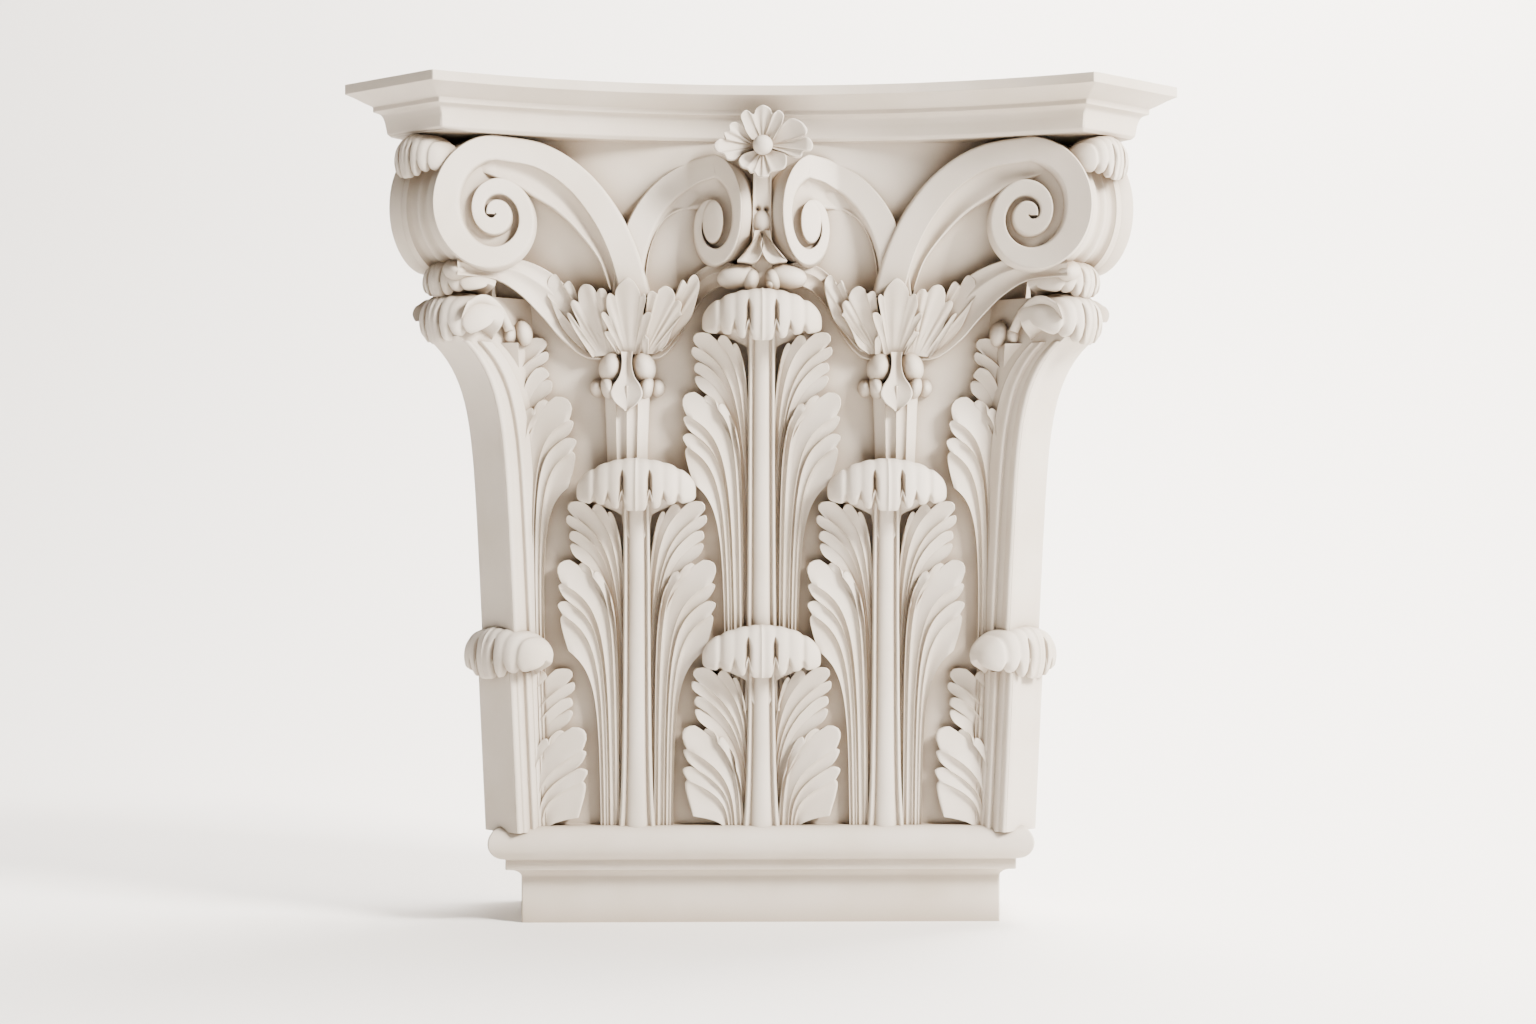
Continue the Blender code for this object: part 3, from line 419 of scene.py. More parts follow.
class PlasterLook(bpy.types.PropertyGroup):
    """Colour and surface of the plaster."""

    plaster: FloatVectorProperty(
        name="Plaster", description="Colour of the clean plaster", subtype="COLOR",
        default=(0.60, 0.54, 0.47), size=3, min=0, max=1,
    )
    patina: FloatVectorProperty(
        name="Patina", description="Colour of the faint, uneven ageing of the surface", subtype="COLOR",
        default=(0.52, 0.455, 0.375), size=3, min=0, max=1,
    )
    # Painted shade: the colour that the hollows of the carving are darkened towards, and how far out of them
    # it reaches
    painted_hollow_shade: FloatVectorProperty(
        name="Painted shade in the hollows", description="Colour of the shade painted into the hollows",
        default=(0.30, 0.24, 0.18), size=3, min=0, max=1, subtype="COLOR",
    )
    painted_shade_reach: FloatProperty(
        name="Painted shade reach", description="How far out of a hollow the painted shade reaches",
        default=0.024, min=0.001, max=0.1, unit="LENGTH",
    )
    grain: FloatProperty(
        name="Grain", description="Strength of the fine grain",
        default=0.12, min=0, max=1, subtype="FACTOR",
    )
    pits: FloatProperty(
        name="Pits", description="Strength of the small air holes",
        default=0.35, min=0, max=1, subtype="FACTOR",
    )


class StudioSetup(bpy.types.PropertyGroup):
    """Floor, backdrop, lights and camera."""

    backdrop: FloatVectorProperty(
        name="Backdrop", description="Colour of the paper sweep", subtype="COLOR",
        default=(0.90, 0.875, 0.845), size=3, min=0, max=1,
    )
    key_power: FloatProperty(
        name="Key light", description="Power of the soft light from the right",
        default=370, min=0, unit="POWER",
    )
    fill_power: FloatProperty(
        name="Fill light", description="Power of the light from the left",
        default=1, min=0, unit="POWER",
    )
    sky: FloatProperty(name="Room light", description="Brightness of the white room", default=0.03, min=0)
    camera_distance: FloatProperty(
        name="Camera distance", description="From the lens to the neck's face", default=1.876, unit="LENGTH",
    )
    camera_height: FloatProperty(
        name="Camera height", description="Height of the lens above the floor", default=0.287, unit="LENGTH",
    )


# Curves and places


def lerp(a, b, t):
    """The value at share t of the way from a to b."""
    return a + (b - a) * t


def clamp(t):
    return min(max(t, 0), 1)


def ease(t):
    """Nought to one with a soft start and a soft end."""
    t = clamp(t)
    return t * t * (3 - 2 * t)


def bump(t, width):
    """One at nought, fading smoothly either side within about the width."""
    return math.exp(-(t / width) ** 2)


def bezier(p0, p1, p2, p3, t):
    """A point at share t of a curve with two ends and two handles."""
    s = 1 - t
    return tuple(
        s * s * s * a + 3 * s * s * t * b + 3 * s * t * t * c + t * t * t * d
        for a, b, c, d in zip(p0, p1, p2, p3)
    )


def along(points, t):
    """A point at share t of a smooth curve through the points."""
    last = len(points) - 1
    i = min(max(int(t * last), 0), last - 1)
    f = t * last - i
    p0, p1, p2, p3 = (points[min(max(k, 0), last)] for k in (i - 1, i, i + 1, i + 2))
    return tuple(
        0.5 * (2 * b + (c - a) * f + (2 * a - 5 * b + 4 * c - d) * f * f + (3 * b - a - 3 * c + d) * f ** 3)
        for a, b, c, d in zip(p0, p1, p2, p3)
    )


def rounding(distance, radius):
    """How far a rounded edge has dropped at a distance in from it."""
    x = 1 - clamp(distance / radius)
    return radius * (1 - math.sqrt(1 - x * x))


def spot(x, out, z):
    """World place of a point given from the centre line, the neck's face and the ground."""
    return Vector((x, FACE_Y - out, z))


def across_corner(x, out):
    """Mirrors a place on the right half of the front about the corner's diagonal, onto the right side."""
    return HALF + out, x - HALF


def diagonal_place(a, reach, z):
    """A place on the corner's diagonal: a sideways, reach outward from the neck's corner."""
    return spot(HALF + (reach + a) * math.sqrt(0.5), (reach - a) * math.sqrt(0.5), z)


def mirrored(place):
    """The same place on the left half."""

    def placed(a, out, z):
        point = place(a, out, z)
        point.x = -point.x
        return point
    return placed


def both_hands():
    """Name and place function of the right half and of the left half."""
    return (("right", spot), ("left", mirrored(spot)))


def uneven(x, z, seed):
    """A slow random swell, the same each run."""
    return noise.noise(Vector((x * 38 + seed * 7.3, z * 38, seed * 3.1)))


def bell_out(z):
    """How far the plain bell stands in front of the neck's face."""
    t = clamp((z - BELL_FOOT) / (ABACUS_FOOT - BELL_FOOT))
    return BELL_FOOT_OUT + BELL_SLOPE * t + BELL_FLARE * t ** BELL_FLARE_POWER


def corner_out(z):
    """Offset of the corner leaf's flat from the neck's corner, in x and in out alike."""
    rise = (z - BELL_FOOT) / (CORNER_FLARE_TOP - BELL_FOOT)
    flare = CORNER_FLARE * math.exp((z - CORNER_FLARE_TOP) / CORNER_FLARE_LENGTH)
    return CORNER_FOOT + CORNER_LEAN * rise + flare


def corner_edge(z, step):
    """Front edge of the corner leaf's flat: how far along x, and how far out."""
    q = corner_out(z) + step
    return HALF + q - CORNER_HALF_CHAMFER, q + CORNER_HALF_CHAMFER


def leaf_surface(z, top, row):
    """How far a leaf's face stands off the neck's plane at a height."""
    return bell_out(z) + LEAF_RELIEF + LEAF_FLARES[row] * math.exp((z - top + CURL_DROP) / FLARE_LENGTH)


# Mesh helpers


def close_shell(bm, target):
    """Cleans one closed shell and adds it to the piece's mesh."""
    bmesh.ops.remove_doubles(bm, verts=bm.verts, dist=1e-6)
    bmesh.ops.recalc_face_normals(bm, faces=bm.faces)
    cleaned = bpy.data.meshes.new("shell")
    bm.to_mesh(cleaned)
    bm.free()
    target.from_mesh(cleaned)
    bpy.data.meshes.remove(cleaned)


def slab(target, columns, rows, front, back):
    """A closed shell between two surfaces, each a function of shares across and along."""
    bm = bmesh.new()
    bmesh.ops.create_grid(bm, x_segments=columns, y_segments=rows, size=0.5)
    shares = {v: (v.co.x + 0.5, v.co.y + 0.5) for v in bm.verts}
    made = bmesh.ops.extrude_face_region(bm, geom=list(bm.faces))
    for vert in [g for g in made["geom"] if isinstance(g, bmesh.types.BMVert)]:
        vert.co = front(vert.co.x + 0.5, vert.co.y + 0.5)
    for vert, share in shares.items():
        vert.co = back(*share)
    close_shell(bm, target)


def shell(target, columns, rows, at):
    """A slab whose front and back come from one function, which is told whether it makes the front."""
    slab(target, columns, rows, lambda u, v: at(u, v, True), lambda u, v: at(u, v, False))


def loft(target, rings):
    """A closed shell through rings of equal length, made by extruding the first ring's face."""
    bm = bmesh.new()
    face = bm.faces.new([bm.verts.new(p) for p in rings[0]])
    for ring in rings[1:]:
        made = bmesh.ops.extrude_face_region(bm, geom=[face] + list(face.edges))
        face = next(g for g in made["geom"] if isinstance(g, bmesh.types.BMFace))
        for vert, place in zip(face.verts, ring):
            vert.co = place
    close_shell(bm, target)


def softened(profile, radius):
    """The profile with each sharp corner turned into a small curve."""
    points = [Vector(p) for p in profile]
    out = [points[0]]
    for before, here, after in zip(points, points[1:], points[2:]):
        a, b = before - here, after - here
        if a.length < 1e-9 or b.length < 1e-9 or math.pi - a.angle(b) < math.radians(25):
            out.append(here)
            continue
        start = here + a.normalized() * min(radius, a.length * 0.4)
        end = here + b.normalized() * min(radius, b.length * 0.4)
        for i in range(4):
            t = i / 3
            out.append(start.lerp(here, t).lerp(here.lerp(end, t), t))
    out.append(points[-1])
    return [tuple(p) for p in out]


def make_piece(name, bm, smooth_angle=50):
    """Turns the shells into one smooth-shaded piece that replaces the CAD capital and rides on its body."""
    for face in bm.faces:
        face.smooth = True
    for edge in bm.edges:
        if len(edge.link_faces) == 2 and edge.calc_face_angle(0) > math.radians(smooth_angle):
            edge.smooth = False
    mesh = bpy.data.meshes.new(name)
    bm.to_mesh(mesh)
    bm.free()
    piece = bpy.data.objects.new(name, mesh)
    bpy.context.scene.collection.objects.link(piece)
    mesh.materials.append(plaster_material())
    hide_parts("capital")
    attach(piece, "root")
    return piece


def weight_normals(piece):
    """Keeps flat faces flat in shading beside rounded edges."""
    weighted = piece.modifiers.new("even shading", "WEIGHTED_NORMAL")
    weighted.keep_sharp = True


# Plaster


def cast_marks_group():
    """Shader group: film of patina, fine grain and small air holes of cast plaster."""
    group = bpy.data.node_groups.get("cast marks")
    if group:
        return group
    group = bpy.data.node_groups.new("cast marks", "ShaderNodeTree")
    for name, kind, value in (("Grain", "NodeSocketFloat", 0.1), ("Pits", "NodeSocketFloat", 0.3)):
        socket = group.interface.new_socket(name, in_out="INPUT", socket_type=kind)
        socket.default_value = value
    group.interface.new_socket("Film", in_out="OUTPUT", socket_type="NodeSocketFloat")
    group.interface.new_socket("Height", in_out="OUTPUT", socket_type="NodeSocketFloat")
    nodes, links = group.nodes, group.links
    inputs = nodes.new("NodeGroupInput")
    outputs = nodes.new("NodeGroupOutput")
    where = nodes.new("ShaderNodeTexCoord")
    cloud = nodes.new("ShaderNodeTexNoise")
    cloud.inputs["Scale"].default_value = 14
    cloud.inputs["Detail"].default_value = 6
    film = nodes.new("ShaderNodeMapRange")
    film.inputs["From Min"].default_value = 0.42
    film.inputs["From Max"].default_value = 0.75
    grain = nodes.new("ShaderNodeTexNoise")
    grain.inputs["Scale"].default_value = 900
    grain.inputs["Detail"].default_value = 3
    holes = nodes.new("ShaderNodeTexVoronoi")
    holes.inputs["Scale"].default_value = 150
    hole_shape = nodes.new("ShaderNodeMapRange")
    hole_shape.inputs["From Min"].default_value = 0.06
    hole_shape.inputs["From Max"].default_value = 0.12
    sparse = nodes.new("ShaderNodeTexNoise")
    sparse.inputs["Scale"].default_value = 45
    sparse_cut = nodes.new("ShaderNodeMapRange")
    sparse_cut.inputs["From Min"].default_value = 0.62
    sparse_cut.inputs["From Max"].default_value = 0.66
    hole_mask = nodes.new("ShaderNodeMath")
    hole_mask.operation = "SUBTRACT"
    hole_mask.inputs[0].default_value = 1
    kept_holes = nodes.new("ShaderNodeMath")
    kept_holes.operation = "MULTIPLY"
    hole_depth = nodes.new("ShaderNodeMath")
    hole_depth.operation = "MULTIPLY"
    grain_height = nodes.new("ShaderNodeMath")
    grain_height.operation = "MULTIPLY"
    height = nodes.new("ShaderNodeMath")
    height.operation = "SUBTRACT"
    for texture in (cloud, grain, holes, sparse):
        links.new(where.outputs["Object"], texture.inputs["Vector"])
    links.new(cloud.outputs["Fac"], film.inputs["Value"])
    links.new(film.outputs["Result"], outputs.inputs["Film"])
    links.new(holes.outputs["Distance"], hole_shape.inputs["Value"])
    links.new(hole_shape.outputs["Result"], hole_mask.inputs[1])
    links.new(sparse.outputs["Fac"], sparse_cut.inputs["Value"])
    links.new(hole_mask.outputs[0], kept_holes.inputs[0])
    links.new(sparse_cut.outputs["Result"], kept_holes.inputs[1])
    links.new(kept_holes.outputs[0], hole_depth.inputs[0])
    links.new(inputs.outputs["Pits"], hole_depth.inputs[1])
    links.new(grain.outputs["Fac"], grain_height.inputs[0])
    links.new(inputs.outputs["Grain"], grain_height.inputs[1])
    links.new(grain_height.outputs[0], height.inputs[0])
    links.new(hole_depth.outputs[0], height.inputs[1])
    links.new(height.outputs[0], outputs.inputs["Height"])
    return group


def plaster_material():
    """White plaster, faintly greyed, with a warmer, darker painted shade where the carving is hollow."""
    material = bpy.data.materials.get("white plaster")
    if material:
        return material
    look = bpy.context.scene.capital_plaster
    material = bpy.data.materials.new("white plaster")
    material.use_nodes = True
    nodes, links = material.node_tree.nodes, material.node_tree.links
    shader = nodes["Principled BSDF"]
    shader.inputs["Roughness"].default_value = 0.72
    shader.inputs["Specular IOR Level"].default_value = 0.35
    marks = nodes.new("ShaderNodeGroup")
    marks.node_tree = cast_marks_group()
    marks.inputs["Grain"].default_value = look.grain
    marks.inputs["Pits"].default_value = look.pits
    tint = nodes.new("ShaderNodeMix")
    tint.data_type = "RGBA"
    tint.inputs["A"].default_value = (*look.plaster, 1)
    tint.inputs["B"].default_value = (*look.patina, 1)
    # Painted shade: ambient occlusion darkens the plaster colour towards the hollow shade colour in the
    # creases and recesses of the carving
    hollows = nodes.new("ShaderNodeAmbientOcclusion")
    hollows.samples = 6
    hollows.inputs["Distance"].default_value = look.painted_shade_reach
    depth = nodes.new("ShaderNodeMapRange")
    depth.inputs["From Min"].default_value = 0.95
    depth.inputs["From Max"].default_value = 0.30
    painted_shade_mix = nodes.new("ShaderNodeMix")
    painted_shade_mix.data_type = "RGBA"
    painted_shade_mix.inputs["B"].default_value = (*look.painted_hollow_shade, 1)
    bumps = nodes.new("ShaderNodeBump")
    bumps.inputs["Strength"].default_value = 0.35
    bumps.inputs["Distance"].default_value = 0.0006
    links.new(marks.outputs["Film"], tint.inputs["Factor"])
    links.new(hollows.outputs["AO"], depth.inputs["Value"])
    links.new(depth.outputs["Result"], painted_shade_mix.inputs["Factor"])
    links.new(tint.outputs["Result"], painted_shade_mix.inputs["A"])
    links.new(painted_shade_mix.outputs["Result"], shader.inputs["Base Color"])
    links.new(marks.outputs["Height"], bumps.inputs["Height"])
    links.new(bumps.outputs["Normal"], shader.inputs["Normal"])
    return material


# Leaves


def lobe(target, fingers, channels, feet, run, height, shape, seed, finger_columns=8, rows=34):
    """A fan of fingers from the leaf's foot to its scalloped edge, with broad channels all the way down.

    feet gives the sideways start of the first and the last flow line, and their height below the curl's top.
    """
    carving = bpy.context.scene.capital_carving
    count = len(fingers)

    def place_in(share):
        index = min(int(share * count + 1e-6), count - 1)
        t = clamp(share * count - index)
        first = max(c for c in channels if c <= index)
        last = min(c for c in channels if c > index)
        return index, t, 2 * (index + t - first) / (last - first) - 1, last - first

    def flow(share, index, t, v):
        tip = along(fingers[index], t)
        start = (lerp(feet[0], feet[1], share ** 1.3), max(feet[2], tip[1] + 0.012))
        fall = start[1] - tip[1]
        return bezier(
            start, (start[0] + 0.001, tip[1] + min(run, fall * 0.55)),
            (lerp(start[0], tip[0], 0.10), tip[1] + min(run * 0.42, fall * 0.3)), tip, v,
        ), math.dist(start, tip)

    def crowded(w):
        return 1 - (1 - w) ** 1.45

    def front(share, w):
        index, t, across, fingers_here = place_in(share)
        v = crowded(w)
        (a, d), length = flow(share, index, t, v)
        from_tip = length * (1 - v)
        width = math.dist(fingers[index][0], fingers[index][-1]) * fingers_here
        depth = min(carving.flute_depth * 1.3, 0.20 * width) * (0.40 + 0.60 * v)
        channel = depth * (1 - across * across)
        side = 2 * t - 1
        near = ease(1 - from_tip / 0.013)
        cuts = 0.0016 * near * bump(1 - abs(side), 0.30)
        border = 0.045 * v * min(share, 1 - share) + 0.0002
        edge = rounding(min(from_tip, border), carving.edge_round)
        ridge = height * (0.60 + 0.34 * v + 0.16 * v ** 6) - channel - cuts - edge
        return shape(a, d, ridge + carving.hand_wobble * uneven(a, d, seed))

    def back(share, w):
        index, t = place_in(share)[:2]
        tip_length = flow(share, index, t, 1)[1]
        a, d = flow(share, index, t, crowded(w) * (1 - carving.undercut / max(tip_length, 0.03)))[0]
        return shape(a, d, -SINK)

    slab(target, count * finger_columns, rows, front, back)


def stem(target, x, low, top, row, place, seed):
    """The leaf's stem: a smooth middle rib, widest at its foot, between grooves and thin ribs."""
    carving = bpy.context.scene.capital_carving
    high = top - 0.026

    def front(u, v):
        side = 2 * u - 1
        s = abs(side)
        z = lerp(low, high, v)
        foot = math.exp(-(z - low) / 0.03)
        half = 0.0105 - 0.0012 * v + 0.0030 * foot
        rib = carving.rib_height * math.sqrt(max(1 - (s / 0.56) ** 2, 0))
        thin = 0.0022 * max(1 - ((s - 0.82) / 0.17) ** 2, 0)
        out = leaf_surface(z, top, row) - 0.0022 + max(rib, thin)
        if s > 0.98:
            out -= 0.004
        return place(x + side * half, out + carving.hand_wobble * 0.5 * uneven(x, z, seed), z)

    def back(u, v):
        z = lerp(low, high, v)
        return place(x + (2 * u - 1) * 0.009, bell_out(z) - SINK, z)

    slab(target, 48, 44, front, back)


def curl(target, top, reach, root, half_width, place, seed, fall=CURL_TOP_FALL):
    """The rolled tip of a leaf, a half dome that ends in a scalloped lip."""
    carving = bpy.context.scene.capital_carving

    def lip_cut(s):
        """How much shorter the lip is at a place across the roll."""
        cut = 0.06 * ease((s - 0.2) / 0.4)
        for where, _, shorter in CURL_CUTS:
            cut += shorter * bump(s - where, 0.045)
        return cut

    def surface(path, outer):
        def at(u, v):
            side = math.sin(math.pi / 2 * (2 * u - 1) * 0.98)
            s = abs(side)
            dome = math.sqrt(1 - side * side)
            crest = -fall * (1 - dome)
            lip = -lerp(CURL_END + fall - CURL_TOP_FALL, CURL_LIP, dome ** 0.8)
            share = v * (1 - lip_cut(s) * dome)
            f, g = along(path, share)
            lift_f = lift_g = 0
            if outer:
                f0, g0 = along(path, max(share - 0.01, 0))
                f1, g1 = along(path, min(share + 0.01, 1))
                length = math.hypot(f1 - f0, g1 - g0)
                grow = ease((v - 0.3) / 0.35)
                lift = 0.0006 * bump(s, 0.022) * grow - 0.0004 * bump(s - 0.05, 0.03) * grow
                for where, deep, _ in CURL_CUTS:
                    lift -= carving.curl_groove * deep * bump(s - where, 0.05) * grow
                slit = ease((v - 0.79) / 0.05) * (1 - ease((v - 0.94) / 0.04))
                lift -= 0.0060 * bump(s - CURL_CUTS[0][0] + 0.02 * (1 - v), 0.030) * slit
                lift -= rounding((1 - v) * 0.08, 0.0010)
                lift += carving.hand_wobble * 1.4 * uneven(side * half_width, v * 0.05, seed)
                lift_f, lift_g = -lift * (g1 - g0) / length, lift * (f1 - f0) / length
            spread = lerp(STEM_HALF_WIDTH, half_width, ease((v - 0.10) / 0.3))
            depth = root + f * (reach - root) * (0.32 + 0.68 * dome) + lift_f
            return place(side * spread, depth, top + crest + g * (crest - lip) + lift_g)
        return at

    slab(target, 96, 38, surface(CURL_OVER, True), surface(CURL_UNDER, False))


def leaf(name, x, row, place, seed):
    """One whole leaf standing on the bell's front."""
    bm = bmesh.new()
    top = ROW_TOPS[row]
    foot = BELL_FOOT - SINK if row < 2 else ROW_TOPS[0] - 0.06
    stem(bm, x, foot, top, row, place, seed)
    root = leaf_surface(top - 0.06, top, row)

    def curl_place(a, out, z):
        return place(x + a, out, z)

    curl(bm, top, ROW_REACHES[row], root, CURL_HALF_WIDTH, curl_place, seed)
    for hand in (1, -1):
        def shape(a, d, ridge):
            z = max(top - d, foot)
            flare = (leaf_surface(z, top, row) - bell_out(z) - LEAF_RELIEF) * (1 if ridge > 0 else 0)
            return place(x + hand * a, bell_out(z) + ridge + flare, z)

        lobe(bm, LOW_LOBE, LOW_CHANNELS, (*LOW_FEET, top - foot), *LOW_RUN, shape, seed + hand)
        lobe(bm, MID_LOBE, MID_CHANNELS, (*MID_FEET, top - foot), *MID_RUN, shape, seed + 2 * hand)
    return make_piece(name, bm)


def dome(target, x, out, z, width, height, depth, place, turn=0):
    """A small rounded boss, flattened at its back."""

    def at(u, v, front):
        a = math.pi * (u - 0.5) * 0.98
        t = math.pi * (v - 0.5) * 0.98
        across, up = math.sin(a) * math.cos(t) * width, math.sin(t) * height
        turned_x = across * math.cos(turn) - up * math.sin(turn)
        turned_z = across * math.sin(turn) + up * math.cos(turn)
        rise = math.cos(a) * math.cos(t) * depth
        return place(x + turned_x, out + rise if front else out - 0.006, z + turned_z)

    shell(target, 14, 14, at)


def corner_flat(target, low, high, step, place):
    """The smooth flat on the corner's diagonal, with a thin raised rim down each side."""
    rises = 40
    columns = 12
    rings = []
    for i in range(rises + 1):
        z = lerp(high, low, (1 - i / rises) ** 1.4)
        x, out = corner_edge(z, step)
        back_x, back_out = across_corner(x, out)
        ring = []
        for j in range(columns + 1):
            t = j / columns
            rim = 0.0010 * bump(min(t, 1 - t), 0.09) - rounding(min(t, 1 - t) * 0.033, 0.0012)
            rim *= math.sqrt(0.5)
            ring.append(place(lerp(x, back_x, t) + rim, lerp(out, back_out, t) + rim, z))
        rings.append(ring + corner_core(z, place))
    loft(target, rings)


def corner_core(z, place):
    """The three hidden corners behind a corner leaf's flat, sunk in the bell."""
    return [
        place(HALF - SINK, -CORNER_BACK, z), place(HALF - CORNER_BACK, -CORNER_BACK, z),
        place(HALF - CORNER_BACK, -SINK, z),
    ]


def corner_web(target, high, step, place):
    """The wedge that carries the tall corner leaf's curl above its flat."""
    rises = 8
    rings = []
    for i in range(rises + 1):
        z = lerp(high - 0.001, WEB_TOP, i / rises)
        x, out = corner_edge(high, step - WEB_TAPER * (i / rises) ** 0.8)
        rings.append([place(x, out, z), place(*across_corner(x, out), z), *corner_core(z, place)])
    loft(target, rings)


def corner_ribs(target, low, high, step, place):
    """Thin ribs beside the flat, which fall back to the bell."""

    def at(u, v, front):
        z = lerp(low, high - 0.004, v)
        edge_x, edge_out = corner_edge(z, step)
        off = RIBS_WIDTH * u
        if not front:
            return place(edge_x - off, 0, z)
        line = 0.0022 * bump(off - 0.0030, 0.0022) - 0.0022 * bump(off - 0.0075, 0.0030)
        line += 0.0024 * bump(off - 0.0122, 0.0024) - rounding(off, 0.0012)
        return place(edge_x - off, max(edge_out - off * RIBS_SLOPE + line, bell_out(z) + 0.0035 + line), z)

    shell(target, 34, 60, at)


def corner_strap(target, place):
    """The strap that hooks from the tall corner leaf's curl down to the front."""

    def at(u, v, front):
        x0, z0 = along(STRAP_EDGES[0], v)
        x1, z1 = along(STRAP_EDGES[1], v)
        across = u * STRAP_SHARE
        out = lerp(*STRAP_OUTS, v) + 0.0022 * (1 - (2 * u - 1) ** 2) if front else STRAP_BACK
        return place(lerp(x0, x1, across), out, lerp(z0, z1, across))

    shell(target, 16, 36, at)


def corner_leaf(name, row, low, high, step, place, seed):
    """A leaf on the corner: smooth flat, rolled tip and the lobes that lie on the front and the flank."""
    bm = bmesh.new()
    top = CORNER_TOPS[row]
    corner_flat(bm, low, high, step, place)
    if row:
        corner_web(bm, high, step, place)
        for toe in CORNER_TOES:
            dome(bm, *toe[:6], place, toe[6])

    def curl_place(a, reach, z):
        point = diagonal_place(a, reach, z)
        return place(point.x, FACE_Y - point.y, z)

    reach = CORNER_CURL_REACHES[row]
    curl(
        bm, top, reach, reach - CORNER_CURL_DEPTHS[row], CORNER_CURL_HALF_WIDTHS[row], curl_place, seed,
        CORNER_CURL_FALLS[row],
    )

    def flank_place(x, out, z):
        return place(*across_corner(x, out), z)

    for turned, face_place in enumerate((place, flank_place)):
        corner_ribs(bm, low, high, step, face_place)
        if row:
            corner_strap(bm, face_place)

        def shape(a, d, ridge):
            z = max(top - d, low)
            edge_x, edge_out = corner_edge(min(z, CORNER_FLARE_TOP - 0.02), step)
            off = a * CORNER_SPREAD - STEM_HALF_WIDTH + 0.004
            near = max(1 - max(off, 0) / 0.022, 0)
            out = bell_out(z) + ridge
            if ridge > 0:
                out = lerp(out, max(edge_out - 0.002, out), near * near)
            return face_place(edge_x - off, out, z)

        detail = (5, 22) if turned else (8, 34)
        tall = top - low
        lobe(bm, LOW_LOBE, LOW_CHANNELS, (*LOW_FEET, tall), *LOW_RUN, shape, seed + 1 + turned, *detail)
        lobe(bm, MID_LOBE, MID_CHANNELS, (*MID_FEET, tall), *MID_RUN, shape, seed + 3 + turned, *detail)
    return make_piece(name, bm)


def corner_curl(name, top, reach, root, half_width, scale, place, seed):
    """A small rolled leaf on the corner's diagonal, rooted in what stands behind it."""
    bm = bmesh.new()

    def on_diagonal(a, out, z):
        point = diagonal_place(a * scale, root + out * scale, top + z * scale)
        return place(point.x, FACE_Y - point.y, point.z)

    curl(bm, 0, (reach - root) / scale, 0, half_width / scale, on_diagonal, seed)
    return make_piece(name, bm)


# Mouldings


def neck_ring(out, z, radius=0.0014):
    """Plan of the neck: square to the wall, with its two front arrises slightly rounded."""
    ring = [spot(-HALF - out, -NECK_DEPTH, z)]
    for hand in (-1, 1):
        for i in range(5):
            a = math.pi / 2 * i / 4
            x = HALF + out - radius * (1 - (math.cos(a) if hand < 0 else math.sin(a)))
            depth = out - radius * (1 - (math.sin(a) if hand < 0 else math.cos(a)))
            ring.append(spot(hand * x, depth, z))
    ring.append(spot(HALF + out, -NECK_DEPTH, z))
    return ring


def bell_and_neck():
    """Neck block, its mouldings and the plain bell, back to the wall."""
    profile = [(0, 0), (NECK_BLOCK_TOP, 0)]
    for i in range(1, 9):
        a = math.pi / 2 * i / 8
        profile.append((NECK_BLOCK_TOP + CAVETTO_HEIGHT * math.sin(a), FILLET_OUT * (1 - math.cos(a))))
    profile.append((TORUS_FOOT, FILLET_OUT))
    radius = TORUS_HEIGHT / 2
    for i in range(1, 24):
        a = math.pi * i / 24
        profile.append((TORUS_FOOT + radius * (1 - math.cos(a)), TORUS_OUT - radius * (1 - math.sin(a))))
    for i in range(25):
        z = lerp(BELL_FOOT, ABACUS_FOOT + SINK, i / 24)
        profile.append((z, bell_out(z)))
    bm = bmesh.new()
    loft(bm, [neck_ring(out, z) for z, out in softened(profile, 0.0009)])
    weight_normals(make_piece("neck_and_bell", bm))


def abacus_ring(inset, z):
    """Plan of the abacus: hollow front and sides, cut horns, flat against the wall."""
    radius = HOLLOW_RADIUS + inset
    cut = HORN_X + HORN_OUT - inset * math.sqrt(2)
    b = cut - HOLLOW_CENTRE
    corner_x = (b + math.sqrt(2 * radius * radius - b * b)) / 2
    angle = math.asin(corner_x / radius)
    steps = 30
    front = []
    for i in range(steps + 1):
        a = angle * i / steps
        front.append((radius * math.sin(a), HOLLOW_CENTRE - radius * math.cos(a)))
    corner = front[-1]
    # The arris of the horn is worn a little round
    front[-1] = (lerp(front[-2][0], corner[0], 0.86), lerp(front[-2][1], corner[1], 0.86))
    tip = across_corner(*corner)
    front.append((lerp(corner[0], tip[0], 0.018), lerp(corner[1], tip[1], 0.018)))
    wall_x = HALF - NECK_DEPTH
    side = [across_corner(x, out) for x, out in reversed(front) if x > wall_x + 0.004]
    side.append(across_corner(wall_x, HOLLOW_CENTRE - math.sqrt(radius ** 2 - wall_x ** 2)))
    half = front + side
    return [spot(x, out, z) for x, out in half] + [spot(-x, out, z) for x, out in reversed(half[1:])]


